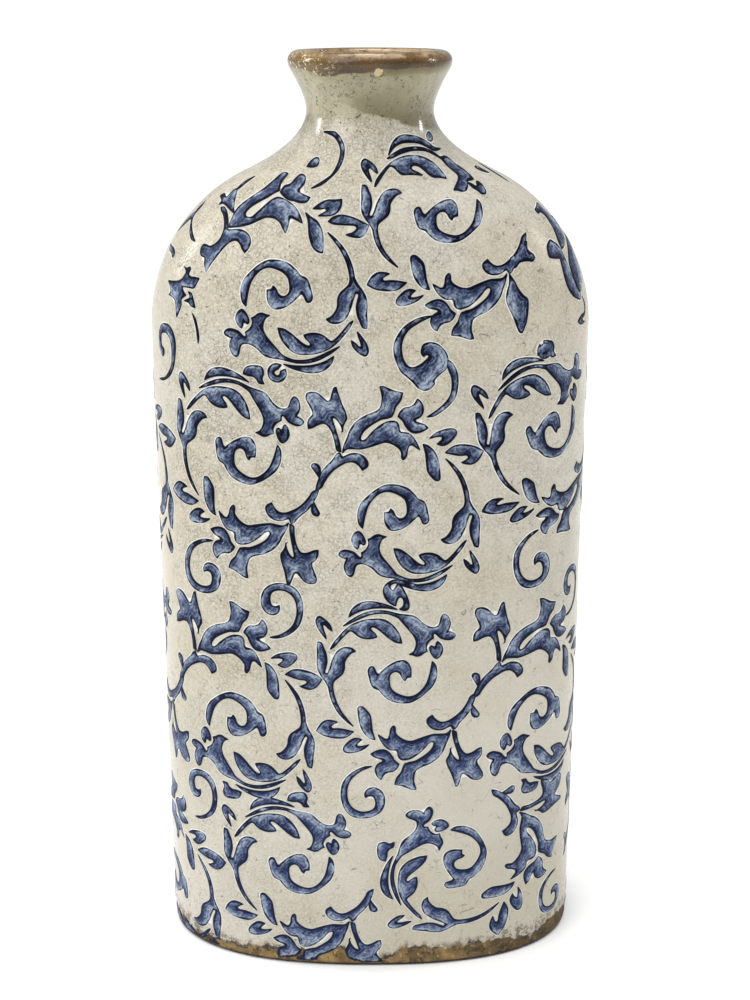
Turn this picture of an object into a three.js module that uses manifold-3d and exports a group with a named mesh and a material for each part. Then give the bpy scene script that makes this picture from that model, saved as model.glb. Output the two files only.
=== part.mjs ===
// Oval bottle vase in glazed earthenware: a flat-bodied flask with a round waisted neck and a rolled lip.
// Millimetres, +Z up. The origin is the centre of the foot, on the surface that the vase stands on.
// The body is wider (X) than it is deep (Y). It is built as a potter builds an oval form: an oval base
// slab on a foot ring, two pressed half shells for the front and the back, a thrown neck collar and a
// rolled lip, luted together with slip. Each piece is a solid of its own.
import * as THREE from "three";
import { mergeVertices } from "three/addons/utils/BufferGeometryUtils.js";
import Module from "manifold-3d";

const wasm = await Module();
wasm.setup();

// Driving dimensions.
const bodyHalfWidth = 82.5;
const bodyHalfDepth = 48;
const wall = 5;
const neckWaist = 23.7; // outer radius of the neck at its narrowest
const neckPower = 2; // the neck is a circle, and the body a slightly squared oval
const bodyPower = 2.4;
const jointGap = 0.3; // the slip joint between two pieces
const aroundSteps = 56;
const curveSteps = 4;

// Heights above the surface that the vase stands on.
const footTop = 3.2;
const slabTop = 10;
const shoulderZ = 250.5; // the straight wall ends here
const collarBottom = 320;
const waistZ = 329;
const lipBottom = 342;

// Shoulder and neck outline.
const shoulderRadius = 62.5;
const shoulderTurn = THREE.MathUtils.degToRad(64.9); // how far the shoulder arc turns before the neck root
const neckRootZ = 318; // corner of the curve between the shoulder and the waist
const flareZ = 334.5; // corner of the curve between the waist and the lip
const flareRadius = 28;

// Foot ring and lip.
const footRound = 2.2;
const footRingWidth = 9.5;
const lipRollRadius = 4.2;
const lipRollCentre = 26;
const lipRollZ = 345.8;
const lipInnerStep = 0.5;

const shoulderCentre = bodyHalfWidth - shoulderRadius;
const aboveAll = 400;
const halfWidthOfCutter = 150;

const creamGlaze = new THREE.MeshStandardMaterial({ color: 0xd8d1bd, roughness: 0.32, metalness: 0 });
const brownGlaze = new THREE.MeshStandardMaterial({ color: 0x7b5c3a, roughness: 0.25, metalness: 0 });
const bareClay = new THREE.MeshStandardMaterial({ color: 0x86673f, roughness: 0.85, metalness: 0 });

// A closed mesh as a manifold-3d solid, and back.
function solidOf(geometry) {
  const bare = geometry.index ? geometry.toNonIndexed() : geometry.clone();
  bare.deleteAttribute("normal");
  bare.deleteAttribute("uv");
  const merged = mergeVertices(bare, 1e-4);
  return new wasm.Manifold(
    new wasm.Mesh({
      numProp: 3,
      vertProperties: merged.attributes.position.array,
      triVerts: new Uint32Array(merged.index.array),
    }),
  );
}

function geometryOf(solid) {
  const mesh = solid.getMesh();
  const geometry = new THREE.BufferGeometry();
  geometry.setAttribute("position", new THREE.BufferAttribute(mesh.vertProperties, 3));
  geometry.setIndex(new THREE.BufferAttribute(mesh.triVerts, 1));
  geometry.computeVertexNormals();
  return geometry;
}

// Turns an outline of (radius, height) points about Z.
function turned(outline) {
  const geometry = new THREE.LatheGeometry(outline.getPoints(curveSteps), aroundSteps);
  return geometry.rotateX(Math.PI / 2);
}

// Squeezes a turned solid into the oval below the waist. A circle up to `round` stays one, and towards
// `widest` the section turns into a superellipse whose half depth is `deepest`.
function ovalised(geometry, round, widest, deepest) {
  const position = geometry.attributes.position;
  for (let i = 0; i < position.count; i++) {
    const x = position.getX(i);
    const y = position.getY(i);
    const radius = Math.hypot(x, y);
    if (radius <= round || position.getZ(i) > waistZ) continue;
    const share = (radius - round) / (widest - round);
    const depth = round + share * (deepest - round);
    const power = neckPower + Math.min(share, 1) * (bodyPower - neckPower);
    const c = x / radius;
    const s = y / radius;
    const reach = (Math.abs(c) ** power + Math.abs(s) ** power) ** (-1 / power);
    position.setXY(i, radius * reach * c, depth * reach * s);
  }
  return geometry;
}

// The outside of the vase from the foot to the underside of the lip.
function outerSolid() {
  const outline = new THREE.Path()
    .moveTo(0, 0)
    .lineTo(bodyHalfWidth - footRound, 0)
    .quadraticCurveTo(bodyHalfWidth, 0, bodyHalfWidth, footRound)
    .lineTo(bodyHalfWidth, shoulderZ)
    .absarc(shoulderCentre, shoulderZ, shoulderRadius, 0, shoulderTurn, false)
    .quadraticCurveTo(neckWaist, neckRootZ, neckWaist, waistZ)
    .quadraticCurveTo(neckWaist, flareZ, flareRadius, lipBottom)
    .lineTo(0, lipBottom);
  return solidOf(ovalised(turned(outline), neckWaist, bodyHalfWidth, bodyHalfDepth));
}

// The hollow inside, from the floor up through the neck.
function hollowSolid() {
  const innerRadius = shoulderRadius - wall;
  const innerWaist = neckWaist - wall;
  const innerFlare = flareRadius - wall - lipInnerStep;
  const outline = new THREE.Path()
    .moveTo(0, slabTop - jointGap / 2)
    .lineTo(bodyHalfWidth - wall, slabTop - jointGap / 2)
    .lineTo(bodyHalfWidth - wall, shoulderZ)
    .absarc(shoulderCentre, shoulderZ, innerRadius, 0, shoulderTurn, false)
    .quadraticCurveTo(innerWaist, neckRootZ - wall / 2, innerWaist, waistZ)
    .quadraticCurveTo(innerWaist, flareZ, innerFlare, lipBottom)
    .lineTo(innerFlare, aboveAll)
    .lineTo(0, aboveAll);
  return solidOf(ovalised(turned(outline), innerWaist, bodyHalfWidth - wall, bodyHalfDepth - wall));
}

// The shallow recess inside the foot ring.
function recessSolid() {
  const outline = new THREE.Path()
    .moveTo(0, -footTop)
    .lineTo(bodyHalfWidth - footRingWidth, -footTop)
    .lineTo(bodyHalfWidth - footRingWidth, footTop)
    .lineTo(0, footTop);
  const round = neckWaist - footRingWidth;
  return solidOf(ovalised(turned(outline), round, bodyHalfWidth - footRingWidth, bodyHalfDepth - footRingWidth));
}

// A box between two heights, and between two depths, that cuts one piece out of the whole.
function slice(lowZ, highZ, lowY = -halfWidthOfCutter, highY = halfWidthOfCutter) {
  const box = new THREE.BoxGeometry(2 * halfWidthOfCutter, highY - lowY, highZ - lowZ);
  return solidOf(box.translate(0, (lowY + highY) / 2, (lowZ + highZ) / 2));
}

// The rolled lip: a round roll of clay that stands on the collar.
function lipGeometry() {
  const rollBottom = lipBottom + jointGap;
  const outerStart = -Math.asin((lipRollZ - rollBottom) / lipRollRadius);
  const innerFoot = flareRadius - wall - lipInnerStep;
  const outline = new THREE.Path()
    .moveTo(innerFoot, rollBottom)
    .lineTo(lipRollCentre + lipRollRadius * Math.cos(outerStart), rollBottom)
    .absarc(lipRollCentre, lipRollZ, lipRollRadius, outerStart, Math.PI, false)
    .lineTo(innerFoot, rollBottom);
  return turned(outline);
}

function piece(name, geometry, material) {
  const mesh = new THREE.Mesh(geometry, material);
  mesh.name = name;
  return mesh;
}

const outer = outerSolid();
const hollow = hollowSolid();
const shell = outer.subtract(hollow);
const wallBottom = slabTop + jointGap;
const wallTop = collarBottom - jointGap;

const footRing = outer.subtract(recessSolid()).intersect(slice(-1, footTop - jointGap));
const baseSlab = outer.intersect(slice(footTop, slabTop));
const frontShell = shell.intersect(slice(wallBottom, wallTop, -halfWidthOfCutter, -jointGap / 2));
const backShell = shell.intersect(slice(wallBottom, wallTop, jointGap / 2, halfWidthOfCutter));
const neckCollar = shell.intersect(slice(collarBottom, lipBottom + 1));

const vase = new THREE.Group();
vase.add(
  piece("foot_ring", geometryOf(footRing), bareClay),
  piece("base_slab", geometryOf(baseSlab), bareClay),
  piece("front_half_shell", geometryOf(frontShell), creamGlaze),
  piece("back_half_shell", geometryOf(backShell), creamGlaze),
  piece("neck_collar", geometryOf(neckCollar), creamGlaze),
  piece("rolled_lip", lipGeometry(), brownGlaze),
);

export default vase;
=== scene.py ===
import math

import bpy
import numpy as np
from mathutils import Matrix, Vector
from mathutils.geometry import delaunay_2d_cdt


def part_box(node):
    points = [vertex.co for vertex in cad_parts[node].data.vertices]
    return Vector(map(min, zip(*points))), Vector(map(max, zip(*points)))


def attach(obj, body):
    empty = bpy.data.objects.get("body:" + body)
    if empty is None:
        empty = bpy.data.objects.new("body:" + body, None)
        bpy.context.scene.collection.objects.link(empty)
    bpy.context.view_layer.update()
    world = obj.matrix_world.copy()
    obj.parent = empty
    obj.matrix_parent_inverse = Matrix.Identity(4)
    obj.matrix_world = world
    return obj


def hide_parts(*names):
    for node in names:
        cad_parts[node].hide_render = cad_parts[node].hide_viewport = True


# Oval talavera bottle vase: cream crackle glaze over earthenware, blue scrolls, a brown glazed lip and a
# bare clay foot.
# Lengths are in millimetres until a mesh, a light or the camera is made.
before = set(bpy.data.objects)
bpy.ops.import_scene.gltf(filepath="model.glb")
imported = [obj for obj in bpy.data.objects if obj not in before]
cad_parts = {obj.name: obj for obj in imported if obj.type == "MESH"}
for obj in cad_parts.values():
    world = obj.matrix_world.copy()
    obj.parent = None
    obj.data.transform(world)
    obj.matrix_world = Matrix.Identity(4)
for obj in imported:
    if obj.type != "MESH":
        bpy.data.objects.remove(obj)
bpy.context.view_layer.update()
MM = 0.001

# ---------------------------------------------------------------------------------------------------------
# Sizes, from the frame and from the outline of the pot.


def cad_box(node):
    """Lowest and highest corner of a CAD node, in millimetres."""
    low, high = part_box(node)
    return np.array(low) / MM, np.array(high) / MM


_, RING_HIGH = cad_box("foot_ring")
SLAB_LOW, SLAB_HIGH = cad_box("base_slab")
SHELL_LOW, SHELL_HIGH = cad_box("front_half_shell")
COLLAR_LOW, COLLAR_HIGH = cad_box("neck_collar")
LIP_LOW, LIP_HIGH = cad_box("rolled_lip")

HALF_WIDTH = SLAB_HIGH[0]
HALF_DEPTH = SLAB_HIGH[1]
FLARE_RADIUS = COLLAR_HIGH[0]
WALL = 5.0
NECK_WAIST = 23.7
WAIST_Z = 329.0
BODY_POWER = 2.4
SHOULDER_Z = 250.5
SHOULDER_RADIUS = 62.5
SHOULDER_TURN = math.radians(64.9)
NECK_ROOT_Z = 318.0
FLARE_Z = 333.2
GLAZED_FLARE = 28.9  # the lip's glaze fills the step under the roll
FOOT_ROUND = 2.2
FOOT_RING_WIDTH = 9.5
LIP_ROLL = 4.2
LIP_ROLL_CENTRE = 26.0
LIP_STEP = 0.5
UNDER_LIP_Z = 344.4  # the corner that the curve under the roll is drawn towards

# The luted joints between the pieces, where the glaze runs across.
RING_TOP = (RING_HIGH[2] + SLAB_LOW[2]) / 2
SLAB_TOP = (SLAB_HIGH[2] + SHELL_LOW[2]) / 2
SHELL_TOP = (SHELL_HIGH[2] + COLLAR_LOW[2]) / 2
COLLAR_TOP = (COLLAR_HIGH[2] + LIP_LOW[2]) / 2

RELIEF = 0.2  # how far the blue stands proud of the glaze
SKIN_DEPTH = 0.26  # the glaze lies this far inside the CAD surface, which leaves room for the blue
RIPPLE = 0.22  # unevenness of a hand-pressed wall
GLAZE_STEP = 0.35  # thickness of the glaze where it ends above the bare foot
COLUMNS = 392

# ---------------------------------------------------------------------------------------------------------
# Outlines of the wall.


def bend(start, corner, end, steps=160):
    """Points of the curve from start to end that is drawn towards a corner."""
    t = np.linspace(0, 1, steps)[:, None]
    return (1 - t) ** 2 * np.array(start) + 2 * t * (1 - t) * np.array(corner) + t**2 * np.array(end)


def arc(centre, radius, start, end, steps=400):
    turn = np.linspace(start, end, steps)
    return np.c_[centre[0] + radius * np.cos(turn), centre[1] + radius * np.sin(turn)]


class Outline:
    """A line of (radius, height) points, read by the length along it."""

    def __init__(self, parts, round_radius, widest, deepest):
        points = np.vstack(parts)
        step = np.hypot(*np.diff(points, axis=0).T)
        keep = np.r_[True, step > 1e-9]
        self.points = points[keep]
        self.way = np.r_[0, np.cumsum(np.hypot(*np.diff(self.points, axis=0).T))]
        self.round, self.widest, self.deepest = round_radius, widest, deepest

    def at(self, way):
        return np.interp(way, self.way, self.points[:, 0]), np.interp(way, self.way, self.points[:, 1])

    def way_at(self, height):
        """The length along the outline at a height, on an outline that only climbs."""
        return np.interp(height, self.points[:, 1], self.way)

    def rows(self, low, high, spacing):
        """Evenly spaced lengths between two heights."""
        first, last = self.way_at(low), self.way_at(high)
        return np.linspace(first, last, max(2, math.ceil((last - first) / spacing) + 1))

    def oval(self, angle, radius, height):
        """The oval section: a circle at the neck, and a squared oval at the body."""
        share = (radius - self.round) / (self.widest - self.round)
        share = np.where(height > WAIST_Z, 0, np.clip(share, 0, None))
        depth = np.where(share > 0, self.round + share * (self.deepest - self.round), radius)
        power = 2 + np.minimum(share, 1) * (BODY_POWER - 2)
        c, s = np.cos(angle), np.sin(angle)
        reach = (np.abs(c) ** power + np.abs(s) ** power) ** (-1 / power)
        return radius * reach * c, depth * reach * s

    def bare(self, angle, way):
        """A point of the plain surface."""
        radius, height = self.at(way)
        x, y = self.oval(angle, radius, height)
        return np.stack([x, y, height + 0 * x], axis=-1)


def shoulder_and_neck(inset):
    """The wall's outline above its straight stretch, on the outside or `inset` inside it."""
    centre = (HALF_WIDTH - SHOULDER_RADIUS, SHOULDER_Z)
    shoulder = arc(centre, SHOULDER_RADIUS - inset, 0, SHOULDER_TURN)
    waist = NECK_WAIST - inset
    flare = FLARE_RADIUS - inset - LIP_STEP if inset else GLAZED_FLARE
    root = bend(shoulder[-1], (waist, NECK_ROOT_Z - inset / 2), (waist, WAIST_Z))
    return [shoulder, root, bend(root[-1], (waist, FLARE_Z), (flare, COLLAR_TOP))]


foot_curve = bend((HALF_WIDTH - FOOT_ROUND, 0), (HALF_WIDTH, 0), (HALF_WIDTH, FOOT_ROUND))
outside = Outline([foot_curve, *shoulder_and_neck(0)], NECK_WAIST, HALF_WIDTH, HALF_DEPTH)
hollow = Outline(
    [[(HALF_WIDTH - WALL, SLAB_TOP)], *shoulder_and_neck(WALL)],
    NECK_WAIST - WALL,
    HALF_WIDTH - WALL,
    HALF_DEPTH - WALL,
)
LIP_ROLL_Z = LIP_HIGH[2] - LIP_ROLL
LIP_RADIUS = LIP_ROLL_CENTRE + LIP_ROLL
under_roll = bend((GLAZED_FLARE, COLLAR_TOP), (LIP_RADIUS, UNDER_LIP_Z), (LIP_RADIUS, LIP_ROLL_Z), 60)
roll = arc((LIP_ROLL_CENTRE, LIP_ROLL_Z), LIP_ROLL, 0, math.pi)
lip_roll = Outline([under_roll, roll], NECK_WAIST, HALF_WIDTH, HALF_DEPTH)

# ---------------------------------------------------------------------------------------------------------
# The distance round the wall, from the middle of the front towards +X.

SHARES = 41
AROUND = 800


def length_tables():
    """For shares from the neck to the body: the angle at each even part of the half girth, and that girth."""
    angle = np.linspace(-math.pi / 2, math.pi / 2, 4001)
    parts = np.linspace(0, 1, AROUND)
    angles, girths = [], []
    for share in np.linspace(0, 1, SHARES):
        radius = NECK_WAIST + share * (HALF_WIDTH - NECK_WAIST)
        x, y = outside.oval(angle, radius, 0)
        length = np.r_[0, np.cumsum(np.hypot(np.diff(x), np.diff(y)))]
        girths.append(length[-1])
        angles.append(np.interp(parts * length[-1], length, angle))
    return np.array(angles), np.array(girths)


LENGTH_ANGLES, HALF_GIRTHS = length_tables()
HALF_GIRTH = HALF_GIRTHS[-1]


def angle_at(along, height):
    """The section's angle at a distance along the wall from the middle of the front, at a height."""
    radius, _ = outside.at(outside.way_at(height))
    share = np.clip((radius - NECK_WAIST) / (HALF_WIDTH - NECK_WAIST), 0, 1) * (SHARES - 1)
    low = np.minimum(share.astype(int), SHARES - 2)
    mix = share - low
    girth = HALF_GIRTHS[low] * (1 - mix) + HALF_GIRTHS[low + 1] * mix
    place = np.clip(np.abs(along) / girth, 0, 1.999)
    beyond = place > 1
    place = np.where(beyond, 2 - place, place) * (AROUND - 1)
    step = np.minimum(place.astype(int), AROUND - 2)
    rest = place - step

    def looked_up(row):
        return LENGTH_ANGLES[row, step] * (1 - rest) + LENGTH_ANGLES[row, step + 1] * rest

    turn = looked_up(low) * (1 - mix) + looked_up(low + 1) * mix + math.pi / 2
    turn = np.where(beyond, 2 * math.pi - turn, turn)
    return -math.pi / 2 + np.sign(along) * turn


def along_body(angle):
    """The distance along the body's wall at an angle of its section, from -half the girth to half of it."""
    turn = (angle + math.pi / 2 + math.pi) % (2 * math.pi) - math.pi
    parts = np.linspace(0, HALF_GIRTH, AROUND)
    return np.sign(turn) * np.interp(np.abs(turn) - math.pi / 2, LENGTH_ANGLES[-1], parts)


# ---------------------------------------------------------------------------------------------------------
# Where the glazes end. The front runs from -107 to 107 along the wall, and the back is beyond that.

GLAZE_EDGE = [
    (-215, 7.0), (-196, 9.0), (-176, 6.0), (-160, 5.2), (-141, 8.2), (-124, 7.6), (-108, 6.0), (-98, 8.2),
    (-88, 6.8), (-81, 6.2), (-77, 4.2), (-72, 5.0), (-64, 5.4), (-52, 4.8), (-44, 6.2), (-35, 7.4),
    (-27, 6.6), (-19, 7.8), (-12, 8.8), (-4, 7.4), (2, 4.6), (7, 4.0), (12, 7.8), (18, 9.0), (25, 7.6),
    (33, 7.4), (44, 8.3), (55, 7.8), (62, 6.6), (67, 4.8), (72, 6.8), (80, 8.8), (88, 8.4), (97, 6.6),
    (112, 8.6), (130, 7.0), (147, 5.0), (161, 8.0), (183, 9.2), (199, 6.2), (215, 7.0),
]
LIP_EDGE = [
    (-180, 345.2), (-160, 344.0), (-140, 343.1), (-130, 342.0), (-122, 341.2), (-116, 341.3), (-108, 342.2),
    (-100, 342.6), (-90, 342.6), (-80, 343.6), (-62, 344.2), (-46, 344.2), (-22, 344.8), (0, 345.2),
    (28, 343.6), (50, 342.4), (74, 343.8), (100, 342.8), (122, 341.6), (148, 343.0), (180, 345.2),
]


def waves(turns, amounts):
    """A sum of sines of a distance, with phases that don't line up."""
    return sum(a * np.sin(turns * k + 1.7 * k) for k, a in amounts)


def glaze_edge(along):
    """The height at which the cream glaze ends above the bare foot."""
    places, heights = zip(*GLAZE_EDGE)
    ragged = waves(along, [(0.9, 0.35), (1.7, 0.3), (2.9, 0.25), (4.3, 0.2)])
    return np.interp(along, places, heights) + ragged


def lip_edge(angle):
    """The height at which the brown glaze of the lip ends on the neck."""
    places, heights = zip(*LIP_EDGE)
    turn = (np.degrees(angle) + 180) % 360 - 180
    return np.interp(turn, places, heights) + waves(turn, [(0.21, 0.15), (0.47, 0.1)])


def soft_step(value):
    t = np.clip(value, 0, 1)
    return t * t * (3 - 2 * t)


# ---------------------------------------------------------------------------------------------------------
# The surface as it is: pressed by hand, and thinner where no glaze covers it.

RIPPLES = [
    ((0.061, 0.020, 0.043), 1.0),
    ((-0.030, 0.052, 0.071), 2.3),
    ((0.110, -0.090, 0.030), 0.4),
    ((0.020, 0.120, -0.140), 3.1),
    ((0.190, 0.110, 0.210), 5.2),
]


def ripple(points):
    """Unevenness of the wall, from 0 to 1."""
    total = sum(np.sin(points @ np.array(wave) + phase) for wave, phase in RIPPLES)
    return 0.5 + 0.5 * total / len(RIPPLES)


TURN = 0.004  # steps round the wall, in radians, and up it, from which a direction is read
CLIMB = 0.35


def normal_of(surface, angle, way):
    """Outward direction of a surface, from its change round the wall and up it."""
    around = surface(angle + TURN, way) - surface(angle - TURN, way)
    upward = surface(angle, way + CLIMB) - surface(angle, way - CLIMB)
    normal = np.cross(around, upward)
    return normal / np.linalg.norm(normal, axis=-1, keepdims=True)


def skin(outline, angle, way, lift=0.0):
    """A point of the finished surface, `lift` above the glaze."""
    points = outline.bare(angle, way)
    outward = normal_of(outline.bare, angle, way)
    depth = SKIN_DEPTH + RIPPLE * ripple(points)
    if outline is outside:
        below = glaze_edge(along_body(angle)) - points[..., 2]
        depth = depth + GLAZE_STEP * soft_step(below / 0.7 + 0.5)
    return points + outward * (np.asarray(lift) - depth)[..., None]


def skin_normal(outline, angle, way):
    """Outward direction of the finished surface."""
    way = np.clip(way, 2 * CLIMB, outline.way[-1] - 2 * CLIMB)  # both steps stay on the outline
    return normal_of(lambda a, w: skin(outline, a, w), angle, way)


# ---------------------------------------------------------------------------------------------------------
# Meshes of the six pieces.


def mesh_object(name, points, faces, material):
    """A smooth mesh object that rides on the root, from points in millimetres."""
    mesh = bpy.data.meshes.new(name)
    mesh.from_pydata((np.asarray(points).reshape(-1, 3) * MM).tolist(), [], faces)
    mesh.polygons.foreach_set("use_smooth", np.ones(len(mesh.polygons), bool))
    mesh.materials.append(material)
    mesh.update()
    made = bpy.data.objects.new(name, mesh)
    bpy.context.scene.collection.objects.link(made)
    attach(made, "root")
    return made


def add_value(made, name, values):
    attribute = made.data.attributes.new(name, "FLOAT", "POINT")
    attribute.data.foreach_set("value", np.asarray(values, np.float32).ravel())


def grid_faces(rows, columns, wrap_rows, wrap_columns):
    """Quads of a grid of points, outward where rows climb and columns turn from +X to +Y."""
    i, j = np.meshgrid(
        np.arange(rows if wrap_rows else rows - 1),
        np.arange(columns if wrap_columns else columns - 1),
        indexing="ij",
    )
    up, on = (i + 1) % rows, (j + 1) % columns
    quads = np.stack([i * columns + j, i * columns + on, up * columns + on, up * columns + j], axis=-1)
    return quads.reshape(-1, 4).tolist()


SHARP_COSINE = 0.8  # the inside and the joints turn an edge sharp where their faces differ by more than this


def skin_normals(made, normals, rows, columns):
    """Gives the outer skin its exact normals, so that no joint shows, and keeps the rims sharp.

    The first rows * columns points are the outer skin.
    """
    mesh = made.data
    count = rows * columns
    sizes = np.zeros(len(mesh.polygons), np.int32)
    mesh.polygons.foreach_get("loop_total", sizes)
    corner_point = np.zeros(len(mesh.loops), np.int32)
    mesh.loops.foreach_get("vertex_index", corner_point)
    first = np.r_[0, np.cumsum(sizes)[:-1]]
    outer_face = np.maximum.reduceat(corner_point, first) < count
    outer_face &= sizes == 4
    outer_corner = np.repeat(outer_face, sizes)
    corner_edge = np.zeros(len(mesh.loops), np.int32)
    mesh.loops.foreach_get("edge_index", corner_edge)
    facing = np.zeros(len(mesh.polygons) * 3)
    mesh.polygons.foreach_get("normal", facing)
    facing = facing.reshape(-1, 3)
    corner_face = np.repeat(np.arange(len(sizes)), sizes)
    pairs = corner_face[np.argsort(corner_edge, kind="stable")].reshape(-1, 2)  # the two faces of each edge
    turned = (facing[pairs[:, 0]] * facing[pairs[:, 1]]).sum(axis=1) < SHARP_COSINE
    outer_faces = outer_face[pairs].sum(axis=1)
    sharp = mesh.attributes.new("sharp_edge", "BOOLEAN", "EDGE")
    sharp.data.foreach_set("value", (outer_faces == 1) | ((outer_faces == 0) & turned))
    wanted = np.zeros((len(mesh.loops), 3))
    wanted[outer_corner] = normals.reshape(-1, 3)[corner_point[outer_corner]]
    mesh.normals_split_custom_set(wanted.tolist())


def pot_piece(name, node, slot, material, outline, ways, inner, angles, ends):
    """A closed piece of the pot. Its outer skin follows an outline, and `inner` are its other rows of points.

    ends is "ring" for a closed ring with inner rows, "disc" for a solid disc, or "half" for a half shell.
    """
    way, angle = np.meshgrid(ways, angles, indexing="ij")
    outer = skin(outline, angle, way)
    points = np.concatenate([outer, *[row[None] for row in inner]])
    rows, columns = points.shape[:2]
    faces = grid_faces(rows, columns, ends != "disc", ends != "half")
    if ends == "disc":
        faces.append(list(range(columns - 1, -1, -1)))
        faces.append([(rows - 1) * columns + j for j in range(columns)])
    if ends == "half":
        faces.append([i * columns for i in range(rows)])
        faces.append([i * columns + columns - 1 for i in range(rows - 1, -1, -1)])
    made = mesh_object(name, points, faces, material)
    all_angles = np.broadcast_to(angles, (rows, columns))
    heights = points[..., 2]
    cream = heights - glaze_edge(along_body(all_angles))
    cream[len(ways):] = np.where(heights[len(ways):] < SLAB_TOP, -WALL, WALL)
    brown = heights - lip_edge(all_angles)
    add_value(made, "cream_height", cream)
    add_value(made, "brown_height", brown)
    add_value(made, "chip_distance", np.linalg.norm(points - LIP_CHIP, axis=-1) - LIP_CHIP_RADIUS)
    skin_normals(made, skin_normal(outline, angle, way), len(ways), columns)
    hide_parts(node)
    return made


LIP_CHIP = skin(lip_roll, np.array(math.radians(-84.5)), np.array(0.6))  # a pale chip under the lip's front
LIP_CHIP_RADIUS = 2.0
LIP_ROWS = 44
HOLLOW_ROW = 4.5  # spacing of the rows on the inside
FINE_ROW = 0.55  # at the ragged glaze edge and on the neck
ROW = 2.1
RAGGED_TOP = 13.0  # the glaze edge stays below this height


def hollow_rows(low, high, angles):
    """Rows of the inside wall, from the top down."""
    ways = hollow.rows(low, high, HOLLOW_ROW)[::-1]
    return [hollow.bare(angles, np.full_like(angles, way)) for way in ways]


def round_angles():
    """Angles of the columns, evenly spaced along the body's wall, from the +X side round."""
    along = HALF_GIRTH * (0.5 + 2 * np.arange(COLUMNS) / COLUMNS)
    along = np.where(along > HALF_GIRTH, along - 2 * HALF_GIRTH, along)
    angles = angle_at(along, np.full(COLUMNS, SHOULDER_Z / 2))
    return np.unwrap(angles)


def make_foot_ring(angles, material):
    recess = Outline(
        [[(HALF_WIDTH - FOOT_RING_WIDTH, 0), (HALF_WIDTH - FOOT_RING_WIDTH, RING_TOP)]],
        NECK_WAIST - FOOT_RING_WIDTH,
        HALF_WIDTH - FOOT_RING_WIDTH,
        HALF_DEPTH - FOOT_RING_WIDTH,
    )
    inner = [recess.bare(angles, np.full_like(angles, way)) for way in (RING_TOP, RING_TOP / 2, 0)]
    ways = outside.rows(0, RING_TOP, FINE_ROW)
    shape = (outside, ways, inner, angles, "ring")
    return pot_piece("clay_foot_ring", "foot_ring", "bare_clay", material, *shape)


def make_base_slab(angles, material):
    ways = outside.rows(RING_TOP, SLAB_TOP, FINE_ROW)
    shape = (outside, ways, [], angles, "disc")
    return pot_piece("clay_base", "base_slab", "bare_clay", material, *shape)


def make_half_shell(name, node, angles, material):
    ways = np.r_[
        outside.rows(SLAB_TOP, RAGGED_TOP, FINE_ROW)[:-1],
        outside.rows(RAGGED_TOP, SHELL_TOP, ROW),
    ]
    inner = hollow_rows(SLAB_TOP, SHELL_TOP, angles)
    shape = (outside, ways, inner, angles, "half")
    return pot_piece(name, node, "cream_glaze", material, *shape)


def make_collar(angles, material):
    ways = outside.rows(SHELL_TOP, COLLAR_TOP, FINE_ROW)
    inner = hollow_rows(SHELL_TOP, COLLAR_TOP, angles)
    shape = (outside, ways, inner, angles, "ring")
    return pot_piece("glazed_neck", "neck_collar", "cream_glaze", material, *shape)


def make_lip(angles, material):
    ways = np.linspace(0, lip_roll.way[-1], LIP_ROWS)
    foot = hollow.bare(angles, np.full_like(angles, hollow.way[-1]))
    shape = (lip_roll, ways, [foot], angles, "ring")
    return pot_piece("glazed_lip", "rolled_lip", "brown_glaze", material, *shape)


# ---------------------------------------------------------------------------------------------------------
# The blue decoration: traditional leaf scrolls. Outlines are in millimetres round the middle of the inner
# curl. A third value marks a sharp corner, and the line is rounded through every other point.

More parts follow.
